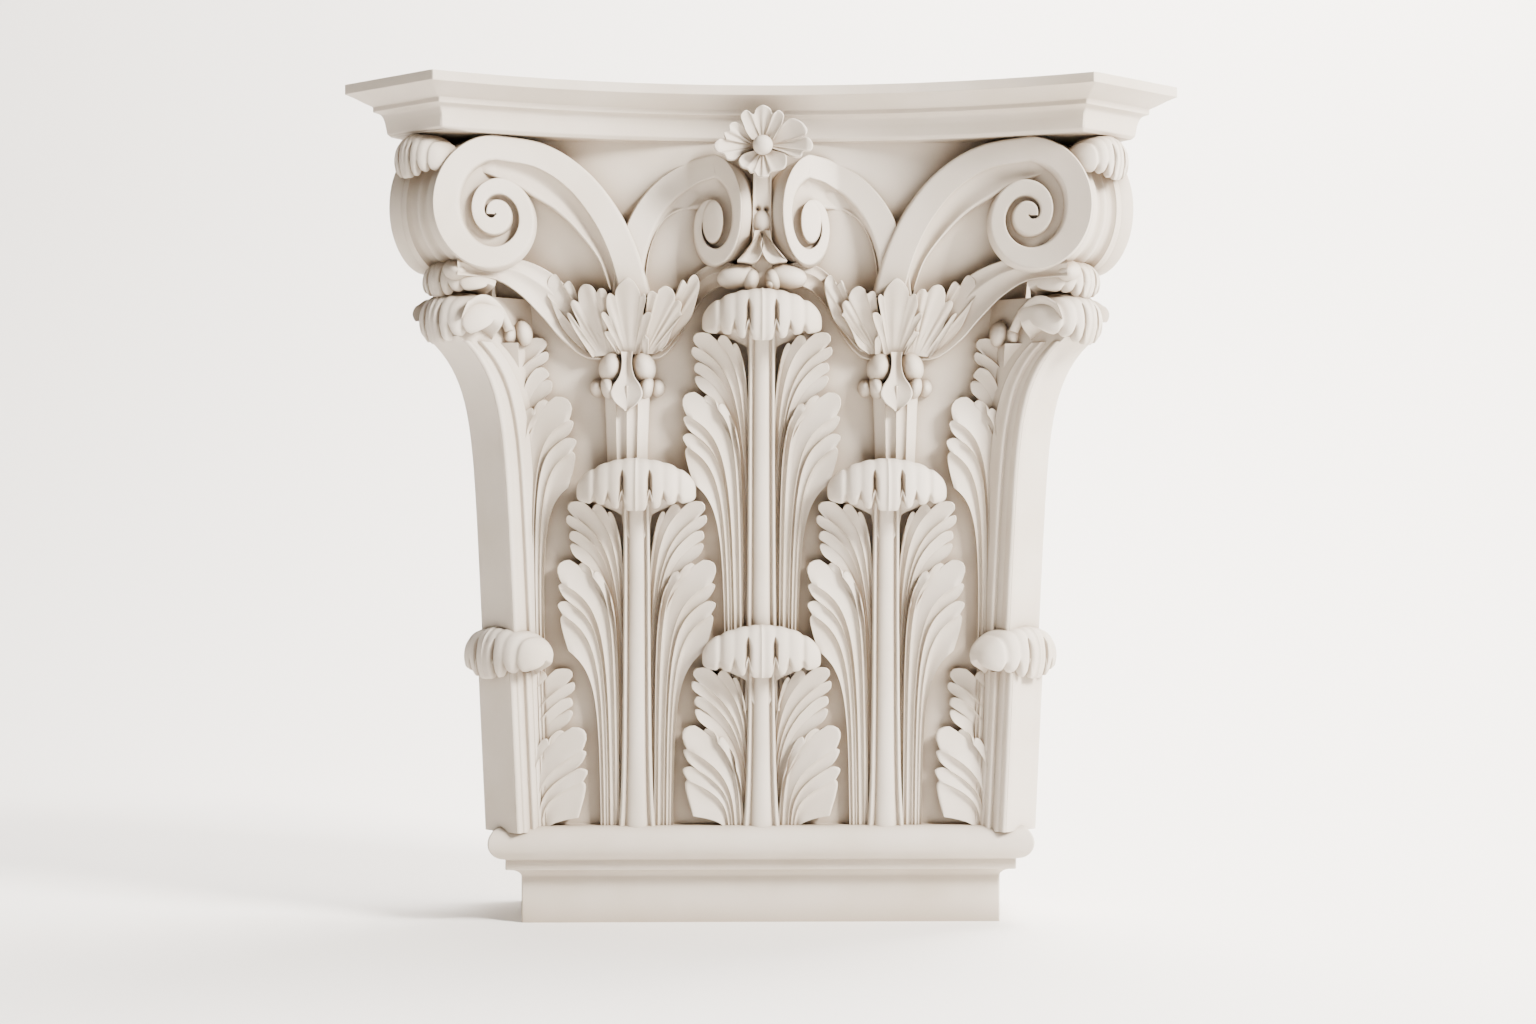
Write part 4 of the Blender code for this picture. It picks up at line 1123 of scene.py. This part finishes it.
def abacus():
    """The abacus with its fillet, cavetto, lip and cove."""
    lip_inset = ABACUS_INSET * 0.66
    lip_depth = ABACUS_FILLET + ABACUS_INSET * 0.36
    cove_depth = lip_depth + ABACUS_LIP
    hollow = (
        (0.0012, ABACUS_FILLET + 0.0004), (ABACUS_INSET * 0.24, ABACUS_FILLET + 0.0026),
        (ABACUS_INSET * 0.45, lip_depth - 0.0026), (lip_inset, lip_depth),
    )
    cove = (
        (lip_inset, cove_depth), (ABACUS_INSET * 0.86, cove_depth + 0.0020),
        (ABACUS_INSET * 0.95, cove_depth + 0.0075),
    )
    profile = [(0, 0), (0, ABACUS_FILLET)]
    profile += [along(hollow, i / 8) for i in range(9)]
    profile += [along(cove, i / 6) for i in range(7)]
    profile += [(ABACUS_INSET, ABACUS_THICKNESS - 0.002), (ABACUS_INSET + 0.002, ABACUS_THICKNESS)]
    profile = softened(profile, 0.0008)
    bm = bmesh.new()
    loft(bm, [abacus_ring(inset, HEIGHT - depth) for inset, depth in reversed(profile)])
    weight_normals(make_piece("abacus", bm, 35))


# Scrolls


def volute_out(x):
    """The volutes' faces: a hollow running just behind the abacus's lower edge."""
    radius = HOLLOW_RADIUS + ABACUS_INSET + VOLUTE_SETBACK
    return HOLLOW_CENTRE - math.sqrt(radius ** 2 - x * x)


def helix_out(x):
    """The helices' faces turn forward towards the middle."""
    turn = min(max((HELIX_TURN_X - x) / (HELIX_TURN_X - HELIX_EDGE_X), 0), 1.2)
    return volute_out(x) - 0.003 + (HELIX_EDGE_OUT - volute_out(0)) * turn


def scroll(turns, arch, pole, squash, quarters):
    """Outer and inner edge of a scroll's band, in quarter turns from its top; below nought is the arch."""
    if quarters < 0:
        share = 1 + quarters / ARCH_QUARTERS
        x, z = along(arch, share)
        ax, az = along(arch, max(share - 0.03, 0))
        bx, bz = along(arch, min(share + 0.03, 1))
        width = lerp(SPRING_WIDTH, turns[0][0] - turns[0][1], share)
        length = math.hypot(bx - ax, bz - az)
        inward = 1 if bx > ax else -1
        return (x, z), (x + inward * (bz - az) / length * width, z - inward * (bx - ax) / length * width)
    angle = math.pi / 2 * (1 - quarters) if pole[0] > arch[0][0] else math.pi / 2 * (1 + quarters)
    outer, inner = along(turns, min(quarters / (len(turns) - 1), 1))
    return tuple(
        (pole[0] + radius * math.cos(angle) * squash, pole[1] + radius * math.sin(angle))
        for radius in (outer, max(inner, EYE))
    )


def volute_edges(quarters):
    """Edges of the corner volute's band."""
    return scroll(VOLUTE_TURNS, VOLUTE_ARCH, VOLUTE_POLE, VOLUTE_SQUASH, quarters)


def helix_edges(quarters):
    """Edges of the inner helix's band."""
    return scroll(HELIX_TURNS, HELIX_ARCH, HELIX_POLE, HELIX_SQUASH, quarters)


def band(target, edges, span, steps, face, back, place):
    """A raised band with rounded arrises and sloping walls between two edge curves."""
    carving = bpy.context.scene.capital_carving
    first, last = span
    columns = 12

    def at(u, v, surface, front):
        quarters = lerp(last, first, v)
        (x0, z0), (x1, z1) = edges(quarters)
        width = math.dist((x0, z0), (x1, z1))
        across = ease(u) * 0.5 + u * 0.5 if front else u
        if not front:
            slope = min(0.0012 / max(width, 0.004), 0.12)
            across = lerp(-slope, 1 + slope, u)
        x, z = lerp(x0, x1, across), lerp(z0, z1, across)
        drop = 0
        if front:
            drop = rounding(min(across, 1 - across) * width, min(carving.edge_round, width * 0.3))
        return place(x, surface(x, z, quarters) - drop, z)

    slab(target, columns, steps, lambda u, v: at(u, v, face, True), lambda u, v: at(u, v, back, False))


def canal(target, edges, far, last, face_out, place):
    """The smooth hollow inside an arch, from the band's inner edge to a thin raised line."""

    def at(u, v, front):
        inner = edges(lerp(-ARCH_QUARTERS, last, v))[1]
        edge = along(far, v)
        width = math.dist(inner, edge)
        across = lerp(-0.12, 1, u)
        x, z = lerp(inner[0], edge[0], across), lerp(inner[1], edge[1], across)
        if not front:
            return place(x, bell_out(z) - SINK, z)
        size = clamp(width / 0.016)
        hollow = 0.0030 + (0.0042 * math.sin(math.pi * clamp(across / 0.86)) + 0.0014 * across) * size
        hollow += rounding((1 - u) * width, 0.0016)
        hollow = lerp(hollow, VOLUTE_RELIEF, ease((v - 0.86) / 0.14))
        return place(x, max(face_out(x) - hollow, bell_out(z) + 0.0002), z)

    shell(target, 26, 70, at)


def apron(target, place):
    """The smooth ground that swells from the sheath up to the hollow's raised line."""

    def at(u, v, front):
        x0, z0 = along(APRON_HEAD, v)
        x1, z1 = along(APRON_FOOT, v)
        x, z = lerp(x0, x1, u), lerp(z0, z1, u)
        if not front:
            return place(x, bell_out(z) - SINK, z)
        high = volute_out(x) - 0.0125
        low = bell_out(z) + 0.003
        swell = lerp(high, low, ease(u) * 0.5 + u * 0.5) - 0.003 * math.sin(math.pi * u)
        return place(x, max(swell, low), z)

    shell(target, 20, 24, at)


def volute(name, place):
    """A corner volute: arch and spiral on the front and the flank, and the channelled rim between them."""
    bm = bmesh.new()
    steps = 120
    rings = []
    rim_steps = 26
    for j in range(rim_steps + 1):
        w = j / rim_steps
        s = abs(2 * w - 1)
        hollow = 0.0036 * ease((0.62 - s) / 0.12)
        bead = 0.0026 * math.sqrt(max(1 - (s / 0.16) ** 2, 0))
        edge = rounding(min(w, 1 - w) * 0.05, 0.0012)
        ring = []
        for i in range(steps):
            quarters = 4 * i / steps
            x, z = volute_edges(quarters)[0]
            away = math.dist((x, z), VOLUTE_POLE)
            scale = (away - hollow + bead - edge) / away
            x = VOLUTE_POLE[0] + (x - VOLUTE_POLE[0]) * scale
            z = VOLUTE_POLE[1] + (z - VOLUTE_POLE[1]) * scale
            out = volute_out(x) - VOLUTE_RELIEF
            back_x, back_out = across_corner(x, out)
            ring.append(place(lerp(x, back_x, w), lerp(out, back_out, w), z))
        rings.append(ring)
    loft(bm, rings)

    def face(x, z, quarters):
        return volute_out(x)

    def back(x, z, quarters):
        share = clamp(-quarters / 0.5)
        return lerp(volute_out(x) - VOLUTE_RELIEF - SINK, bell_out(z) - SINK, share)

    def flank_place(x, out, z):
        return place(*across_corner(x, out), z)

    span = (-ARCH_QUARTERS, VOLUTE_END)
    band(bm, volute_edges, span, 300, face, back, place)
    band(bm, volute_edges, span, 160, face, back, flank_place)
    apron(bm, place)
    canal(bm, volute_edges, VOLUTE_CANAL, 0.25, volute_out, place)
    canal(bm, volute_edges, VOLUTE_CANAL, 0.25, volute_out, flank_place)
    return make_piece(name, bm)


def helix(name, place):
    """An inner helix: arch, scroll and the body behind it."""
    bm = bmesh.new()
    rings = [[], [], [], []]
    steps = 90
    for i in range(steps):
        x, z = helix_edges(4 * i / steps)[0]
        turned = 0.0098 * ease((0.032 - x) / 0.016)
        out = helix_out(x)
        rings[0].append(place(x, out - VOLUTE_RELIEF, z))
        rings[1].append(place(x - turned * 0.55, out - 0.010, z))
        rings[2].append(place(x - turned, out - 0.018, z))
        rings[3].append(place(lerp(x, 0, 0.4), bell_out(z) - SINK, z))
    loft(bm, rings)

    def face(x, z, quarters):
        return helix_out(x)

    def back(x, z, quarters):
        share = clamp(-quarters / 0.5)
        return lerp(helix_out(x) - VOLUTE_RELIEF - SINK, bell_out(z) - SINK, share)

    band(bm, helix_edges, (-ARCH_QUARTERS, HELIX_END), 240, face, back, place)
    eye = []
    steps = 72
    for size, rise in HELIX_EYE_RINGS:
        ring = []
        for i in range(steps):
            radius = along(HELIX_EYE, i / steps)[0] * size
            angle = math.pi / 2 * (1 + 4 * i / steps)
            x = HELIX_POLE[0] + radius * math.cos(angle) * HELIX_SQUASH
            ring.append(place(x, helix_out(x) + rise, HELIX_POLE[1] + radius * math.sin(angle)))
        eye.append(ring)
    loft(bm, eye)
    canal(bm, helix_edges, HELIX_CANAL, 0.3, helix_out, place)
    return make_piece(name, bm)


# Caulicoli, calyxes and sprays


def fan(target, edge, root, face, back, ridges, place, detail=(4, 20)):
    """A leaf drawn by its edge: rays run from a short root to the edge, and ridges follow some of them."""
    carving = bpy.context.scene.capital_carving
    columns = detail[0] * (len(edge) - 1)

    def at(u, v, front):
        tip = along(edge, u)
        start = (lerp(root[0][0], root[1][0], u), lerp(root[0][1], root[1][1], u))
        share = 1 - (1 - v) ** 1.5
        x, z = lerp(start[0], tip[0], share), lerp(start[1], tip[1], share)
        if not front:
            return place(x, back(x, z), z)
        length = math.dist(start, tip)
        side = abs(2 * u - 1)
        line = sum(bump(u - ridge, 0.035) for ridge in ridges)
        relief = (0.0030 * side + carving.rib_height * 0.32 * line) * ease(share * 2)
        relief -= 0.0012 * math.sin(math.pi * share)
        from_edge = min((1 - share) * length, (1 - side) * length * 0.8 + 0.0002)
        border = rounding(from_edge, carving.edge_round * 0.9)
        return place(x, face(x, z, share) + relief - border, z)

    shell(target, columns, detail[1], at)


def millimetres(points):
    """Points given in millimetres, in metres."""
    return tuple((x * 0.001, z * 0.001) for x, z in points)


def spray(target, edges, face_out, place, seed):
    """A smooth sheath of leaf that sweeps from the calyx up under a scroll, with two long hollows."""
    lower, upper = edges
    carving = bpy.context.scene.capital_carving

    def at(u, v, front):
        x0, z0 = along(lower, v)
        x1, z1 = along(upper, v)
        x, z = lerp(x0, x1, u), lerp(z0, z1, u)
        face = lerp(bell_out(z) + 0.006, face_out(x), v ** 1.5)
        root = min(bell_out(z), face) - SINK
        if x > HALF:
            root = face - SPRAY_THICKNESS
        if not front:
            return place(x, root, z)
        hollow = 0.0030 * math.sin(math.pi * clamp(u / 0.62))
        hollow += 0.0016 * math.sin(math.pi * clamp((u - 0.62) / 0.38))
        edge = rounding(min(u, 1 - u) * math.dist((x0, z0), (x1, z1)), carving.edge_round)
        return place(x, face + 0.0016 - hollow - edge + carving.hand_wobble * uneven(x, z, seed), z)

    shell(target, 36, 80, at)


def caulis_stalk(target, place):
    """The fluted stem that rises between the leaves to the collar."""
    low = ROW_TOPS[1] - 0.02

    def front(u, v):
        side = 2 * u - 1
        z = lerp(low, COLLAR_Z, v)
        half = lerp(CAULIS_RADIUS - 0.001, CAULIS_RADIUS + 0.002, v)
        round_out = half * (0.25 + 0.75 * math.sqrt(max(1 - side * side, 0)))
        flutes = 0.0026 * abs(math.sin(math.pi * CAULIS_FLUTES * u)) ** 0.7
        return place(CAULIS_X + side * half, bell_out(z) + round_out + 0.0014 - flutes, z)

    def back(u, v):
        z = lerp(low, COLLAR_Z, v)
        return place(CAULIS_X + (2 * u - 1) * CAULIS_RADIUS, bell_out(z) - SINK, z)

    slab(target, 48, 16, front, back)


def collar(target, place):
    """A drop-shaped tongue with a raised rim between two domes, and two small round ears a side."""

    def tongue(u, v, front):
        side = 2 * u - 1
        z = lerp(*TONGUE_SPAN, v)
        half = along(TONGUE_HALF_WIDTHS, v)[0]
        if not front:
            return place(CAULIS_X + side * half, bell_out(z) - SINK, z)
        hollow = 0.0036 * (1 - abs(side) ** 1.5)
        rim = rounding((1 - abs(side)) * half, 0.0008)
        return place(CAULIS_X + side * half, bell_out(z) + 0.0165 + 0.0050 * (1 - v) - hollow - rim, z)

    shell(target, 26, 40, tongue)
    base = bell_out(COLLAR_Z)
    for hand in (1, -1):
        for x, out, z, width, height, depth, turn in COLLAR_LOBES:
            dome(target, CAULIS_X + hand * x, base + out, z, width, height, depth, place, hand * turn)


def calyx(target, place):
    """Five leaves that open above the collar, each lifting off the bell towards its tip."""

    def calyx_place(x, out, z):
        return place(CAULIS_X + x, out, CALYX_FOOT - 0.001 + z)

    for edge, (low, high, lift, ridges) in zip(CALYX_EDGES, CALYX_ROOTS):
        def face(x, z, share):
            return bell_out(CALYX_FOOT + z) + lerp(0.009, lift, clamp(z / 0.048) ** 1.1)

        def back(x, z):
            return bell_out(CALYX_FOOT + z) - SINK

        fan(target, millimetres(edge), millimetres((low, high)), face, back, ridges, calyx_place)


def caulis(name, place, seed):
    """A fluted stem, its flower-shaped collar, and the calyx and the sheaths that open above it."""
    bm = bmesh.new()
    caulis_stalk(bm, place)
    collar(bm, place)
    calyx(bm, place)
    spray(bm, OUTER_SPRAY, lambda x: volute_out(x) - 0.004, place, seed + 8)
    spray(bm, INNER_SPRAY, lambda x: helix_out(x) - 0.012, place, seed + 9)
    for roll in SPRAY_ROLLS:
        dome(bm, *roll[:6], place, roll[6])
    return make_piece(name, bm)


# Fleuron


def flower_stalk(target):
    """The stalk in the middle of the front, with a raised rim and two pits above the bud."""

    def at(u, v, front):
        side = 2 * u - 1
        z = lerp(ROW_TOPS[2] - 0.03, FLEURON_Z, v)
        half = lerp(0.0075, 0.0060, v)
        if not front:
            return spot(side * half, 0, z)
        rim = 0.0014 * bump(1 - abs(side), 0.22) - rounding((1 - abs(side)) * half, 0.0006)
        pit = 0.0050 * bump(math.hypot(abs(side * half) - STALK_PITS[0], z - STALK_PITS[1]), 0.0016)
        return spot(side * half, lerp(0.036, 0.040, v) + rim - pit, z)

    shell(target, 36, 160, at)


def petals(target):
    """Four lobed petals, each a little further out than the one before, turned up at their edges."""

    def flower_place(x, out, z):
        return spot(x, out, FLEURON_Z + z)

    for i, (edge, ridges) in enumerate(zip(PETAL_EDGES, PETAL_RIDGES)):
        def face(x, z, share):
            return FLEURON_OUT - 0.009 + 0.0008 * i + 0.009 * clamp(math.hypot(x, z) / 0.030) ** 1.5

        def back(x, z):
            reach = math.hypot(x, z)
            return face(x, z, 1) - (0.0045 if reach > 0.010 else 0.024)

        points = millimetres(edge)
        middle = (points[0][0] * 0.25 + points[-1][0] * 0.25, points[0][1] * 0.25 + points[-1][1] * 0.25)
        fan(target, points, (middle, middle), face, back, ridges, flower_place, (6, 26))


def flower_ball(target):
    """The ball in the middle of the flower."""

    def at(u, v, front):
        angle = math.pi * (u - 0.5) * 0.98
        tilt = math.pi * (v - 0.5) * 0.98
        if not front:
            return spot(FLEURON_BALL * (u - 0.5), FLEURON_OUT - 0.02, FLEURON_Z + FLEURON_BALL * (v - 0.5))
        return spot(
            FLEURON_BALL * math.sin(angle) * math.cos(tilt),
            FLEURON_OUT + FLEURON_BALL * math.cos(angle) * math.cos(tilt) * 0.9,
            FLEURON_Z + FLEURON_BALL * math.sin(tilt),
        )

    shell(target, 20, 20, at)


def bud(target):
    """The bud between the helices: a round tongue over a petal that opens in two, and a bead below."""
    dome(target, 0, 0.0375, BUD_Z - 0.0002, 0.0064, 0.0078, 0.0050, spot)
    root = ((0.0005, -0.006), (0.0015, -0.007))
    for hand in (1, -1):
        def bud_place(x, out, z):
            return spot(hand * x, out, BUD_Z + z)

        def face(x, z, share):
            return 0.0395 + 0.0065 * share

        def back(x, z):
            return 0.010

        fan(target, millimetres(BUD_EDGE), root, face, back, (0.5,), bud_place)
    dome(target, 0.0055, 0.040, 0.4430, 0.0030, 0.0032, 0.0050, spot)


def fleuron():
    """The flower on the abacus with its stalk, and the bud between the helices."""
    bm = bmesh.new()
    flower_stalk(bm)
    petals(bm)
    flower_ball(bm)
    bud(bm)
    return make_piece("fleuron", bm)


# Stage


def sweep(depth, height, radius):
    """Floor and backdrop in one smooth sheet of paper."""
    bm = bmesh.new()
    path = [(PAPER_FRONT, 0), (depth - radius, 0)]
    for i in range(1, 24):
        a = math.pi / 2 * i / 24
        path.append((depth - radius + radius * math.sin(a), radius * (1 - math.cos(a))))
    path += [(depth, radius), (depth, height)]
    verts = [bm.verts.new((-PAPER_WIDTH / 2, y, z)) for y, z in path]
    edges = [bm.edges.new(pair) for pair in zip(verts, verts[1:])]
    made = bmesh.ops.extrude_edge_only(bm, edges=edges)
    pulled = [g for g in made["geom"] if isinstance(g, bmesh.types.BMVert)]
    bmesh.ops.translate(bm, vec=(PAPER_WIDTH, 0, 0), verts=pulled)
    bmesh.ops.recalc_face_normals(bm, faces=bm.faces)
    for face in bm.faces:
        face.smooth = True
    mesh = bpy.data.meshes.new("paper_sweep")
    bm.to_mesh(mesh)
    bm.free()
    paper = bpy.data.objects.new("paper_sweep", mesh)
    bpy.context.scene.collection.objects.link(paper)
    material = bpy.data.materials.new("backdrop paper")
    material.use_nodes = True
    shader = material.node_tree.nodes["Principled BSDF"]
    shader.inputs["Base Color"].default_value = (*bpy.context.scene.capital_studio.backdrop, 1)
    shader.inputs["Roughness"].default_value = 0.9
    mesh.materials.append(material)
    paper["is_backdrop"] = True


def area_light(name, place, aim, power, size, colour):
    """A square soft light that the camera doesn't see."""
    light = bpy.data.lights.new(name, "AREA")
    light.energy = power
    light.size = size
    light.color = colour
    lamp = bpy.data.objects.new(name, light)
    lamp.location = place
    lamp.rotation_euler = (Vector(aim) - Vector(place)).to_track_quat("-Z", "Y").to_euler()
    lamp.visible_camera = False
    bpy.context.scene.collection.objects.link(lamp)


# Operators


class CarveNeck(bpy.types.Operator):
    """Turn the neck block, astragal and bell"""
    bl_idname = "capital.neck"
    bl_label = "Neck and bell"

    def execute(self, context):
        bell_and_neck()
        return {"FINISHED"}


class CarveAbacus(bpy.types.Operator):
    """Mould the hollow-sided abacus with its cut horns"""
    bl_idname = "capital.abacus"
    bl_label = "Abacus"

    def execute(self, context):
        abacus()
        return {"FINISHED"}


class CarveFrontLeaves(bpy.types.Operator):
    """Carve the leaves that stand on the front of the bell"""
    bl_idname = "capital.front_leaves"
    bl_label = "Front leaves"

    def execute(self, context):
        leaf("low_middle_leaf", 0, 0, spot, 1)
        leaf("tall_middle_leaf", 0, 2, spot, 11)
        for i, (hand, place) in enumerate(both_hands()):
            leaf(f"{hand}_leaf", SIDE_LEAF_X, 1, place, 21 + 10 * i)
        return {"FINISHED"}


class CarveCornerLeaves(bpy.types.Operator):
    """Carve the leaves that wrap the corners"""
    bl_idname = "capital.corner_leaves"
    bl_label = "Corner leaves"

    def execute(self, context):
        foot = BELL_FOOT - SINK
        for i, (hand, place) in enumerate(both_hands()):
            tall, low = f"{hand}_tall_corner_leaf", f"{hand}_low_corner_leaf"
            corner_leaf(tall, 1, foot, CORNER_FLARE_TOP, 0, place, 41 + 20 * i)
            corner_leaf(low, 0, foot, CORNER_LOW_TOP, CORNER_LOW_STEP, place, 51 + 20 * i)
            corner_curl(f"{hand}_corner_rest", *CORNER_REST, place, 61 + i)
            corner_curl(f"{hand}_horn_husk", *HORN_HUSK, place, 63 + i)
        return {"FINISHED"}


class CarveScrolls(bpy.types.Operator):
    """Carve the corner volutes and the inner helices"""
    bl_idname = "capital.scrolls"
    bl_label = "Volutes and helices"

    def execute(self, context):
        for hand, place in both_hands():
            volute(f"{hand}_volute", place)
            helix(f"{hand}_helix", place)
        return {"FINISHED"}


class CarveCaulicoli(bpy.types.Operator):
    """Carve the fluted stems with their collars, calyxes and sprays"""
    bl_idname = "capital.caulicoli"
    bl_label = "Caulicoli"

    def execute(self, context):
        for i, (hand, place) in enumerate(both_hands()):
            caulis(f"{hand}_caulis", place, 81 + 20 * i)
        return {"FINISHED"}


class CarveFleuron(bpy.types.Operator):
    """Carve the flower on the abacus and the bud below it"""
    bl_idname = "capital.fleuron"
    bl_label = "Fleuron"

    def execute(self, context):
        fleuron()
        return {"FINISHED"}


class SetStage(bpy.types.Operator):
    """Lay the paper sweep, hang the lights and place the camera"""
    bl_idname = "capital.stage"
    bl_label = "Stage"

    def execute(self, context):
        scene = context.scene
        studio = scene.capital_studio
        sweep(PAPER_BACK, PAPER_HEIGHT, PAPER_BEND)
        area_light("key", (1.95, -1.4, 1.75), (0.05, 0, 0.3), studio.key_power, 0.75, (1, 0.955, 0.90))
        area_light("fill", (-2.2, -1.6, 0.8), (0, 0, 0.3), studio.fill_power, 1.8, (0.97, 0.98, 1))
        back_power = studio.key_power * 0.55
        area_light("backdrop light", (0.7, 0.75, 2.3), (0, 1.35, 1.0), back_power, 1.4, (1, 0.965, 0.93))
        world = bpy.data.worlds.new("white room")
        scene.world = world
        world.use_nodes = True
        background = world.node_tree.nodes["Background"]
        background.inputs["Color"].default_value = (1, 0.985, 0.965, 1)
        background.inputs["Strength"].default_value = studio.sky
        camera = bpy.data.cameras.new("camera")
        camera.sensor_width = 36
        camera.lens = CAMERA_LENS
        tripod = bpy.data.objects.new("camera", camera)
        turn = math.radians(CAMERA_TURN)
        tripod.location = (
            math.sin(turn) * studio.camera_distance + math.cos(turn) * CAMERA_BESIDE,
            FACE_Y - math.cos(turn) * studio.camera_distance + math.sin(turn) * CAMERA_BESIDE,
            studio.camera_height,
        )
        tripod.rotation_euler = (math.radians(90), 0, turn)
        scene.collection.objects.link(tripod)
        scene.camera = tripod
        return {"FINISHED"}


OPERATORS = (
    CarveNeck, CarveAbacus, CarveFrontLeaves, CarveCornerLeaves,
    CarveScrolls, CarveCaulicoli, CarveFleuron, SetStage,
)


class CapitalPanel(bpy.types.Panel):
    """Sizes, colours and buttons for the capital"""
    bl_idname = "VIEW3D_PT_capital"
    bl_label = "Capital"
    bl_space_type = "VIEW_3D"
    bl_region_type = "UI"
    bl_category = "Capital"

    def draw(self, context):
        layout = self.layout
        scene = context.scene
        for group in (scene.capital_carving, scene.capital_plaster, scene.capital_studio):
            box = layout.box()
            for name in group.bl_rna.properties.keys():
                if name not in {"rna_type", "name"}:
                    box.prop(group, name)
        for operator in OPERATORS:
            layout.operator(operator.bl_idname)


CLASSES = (CapitalCarving, PlasterLook, StudioSetup, *OPERATORS, CapitalPanel)


def register():
    for cls in CLASSES:
        bpy.utils.register_class(cls)
    bpy.types.Scene.capital_carving = PointerProperty(type=CapitalCarving)
    bpy.types.Scene.capital_plaster = PointerProperty(type=PlasterLook)
    bpy.types.Scene.capital_studio = PointerProperty(type=StudioSetup)


def unregister():
    del bpy.types.Scene.capital_studio
    del bpy.types.Scene.capital_plaster
    del bpy.types.Scene.capital_carving
    for cls in reversed(CLASSES):
        bpy.utils.unregister_class(cls)


def main():
    register()
    for operator in OPERATORS:
        module, name = operator.bl_idname.split(".")
        getattr(getattr(bpy.ops, module), name)()


if __name__ == "__main__":
    main()
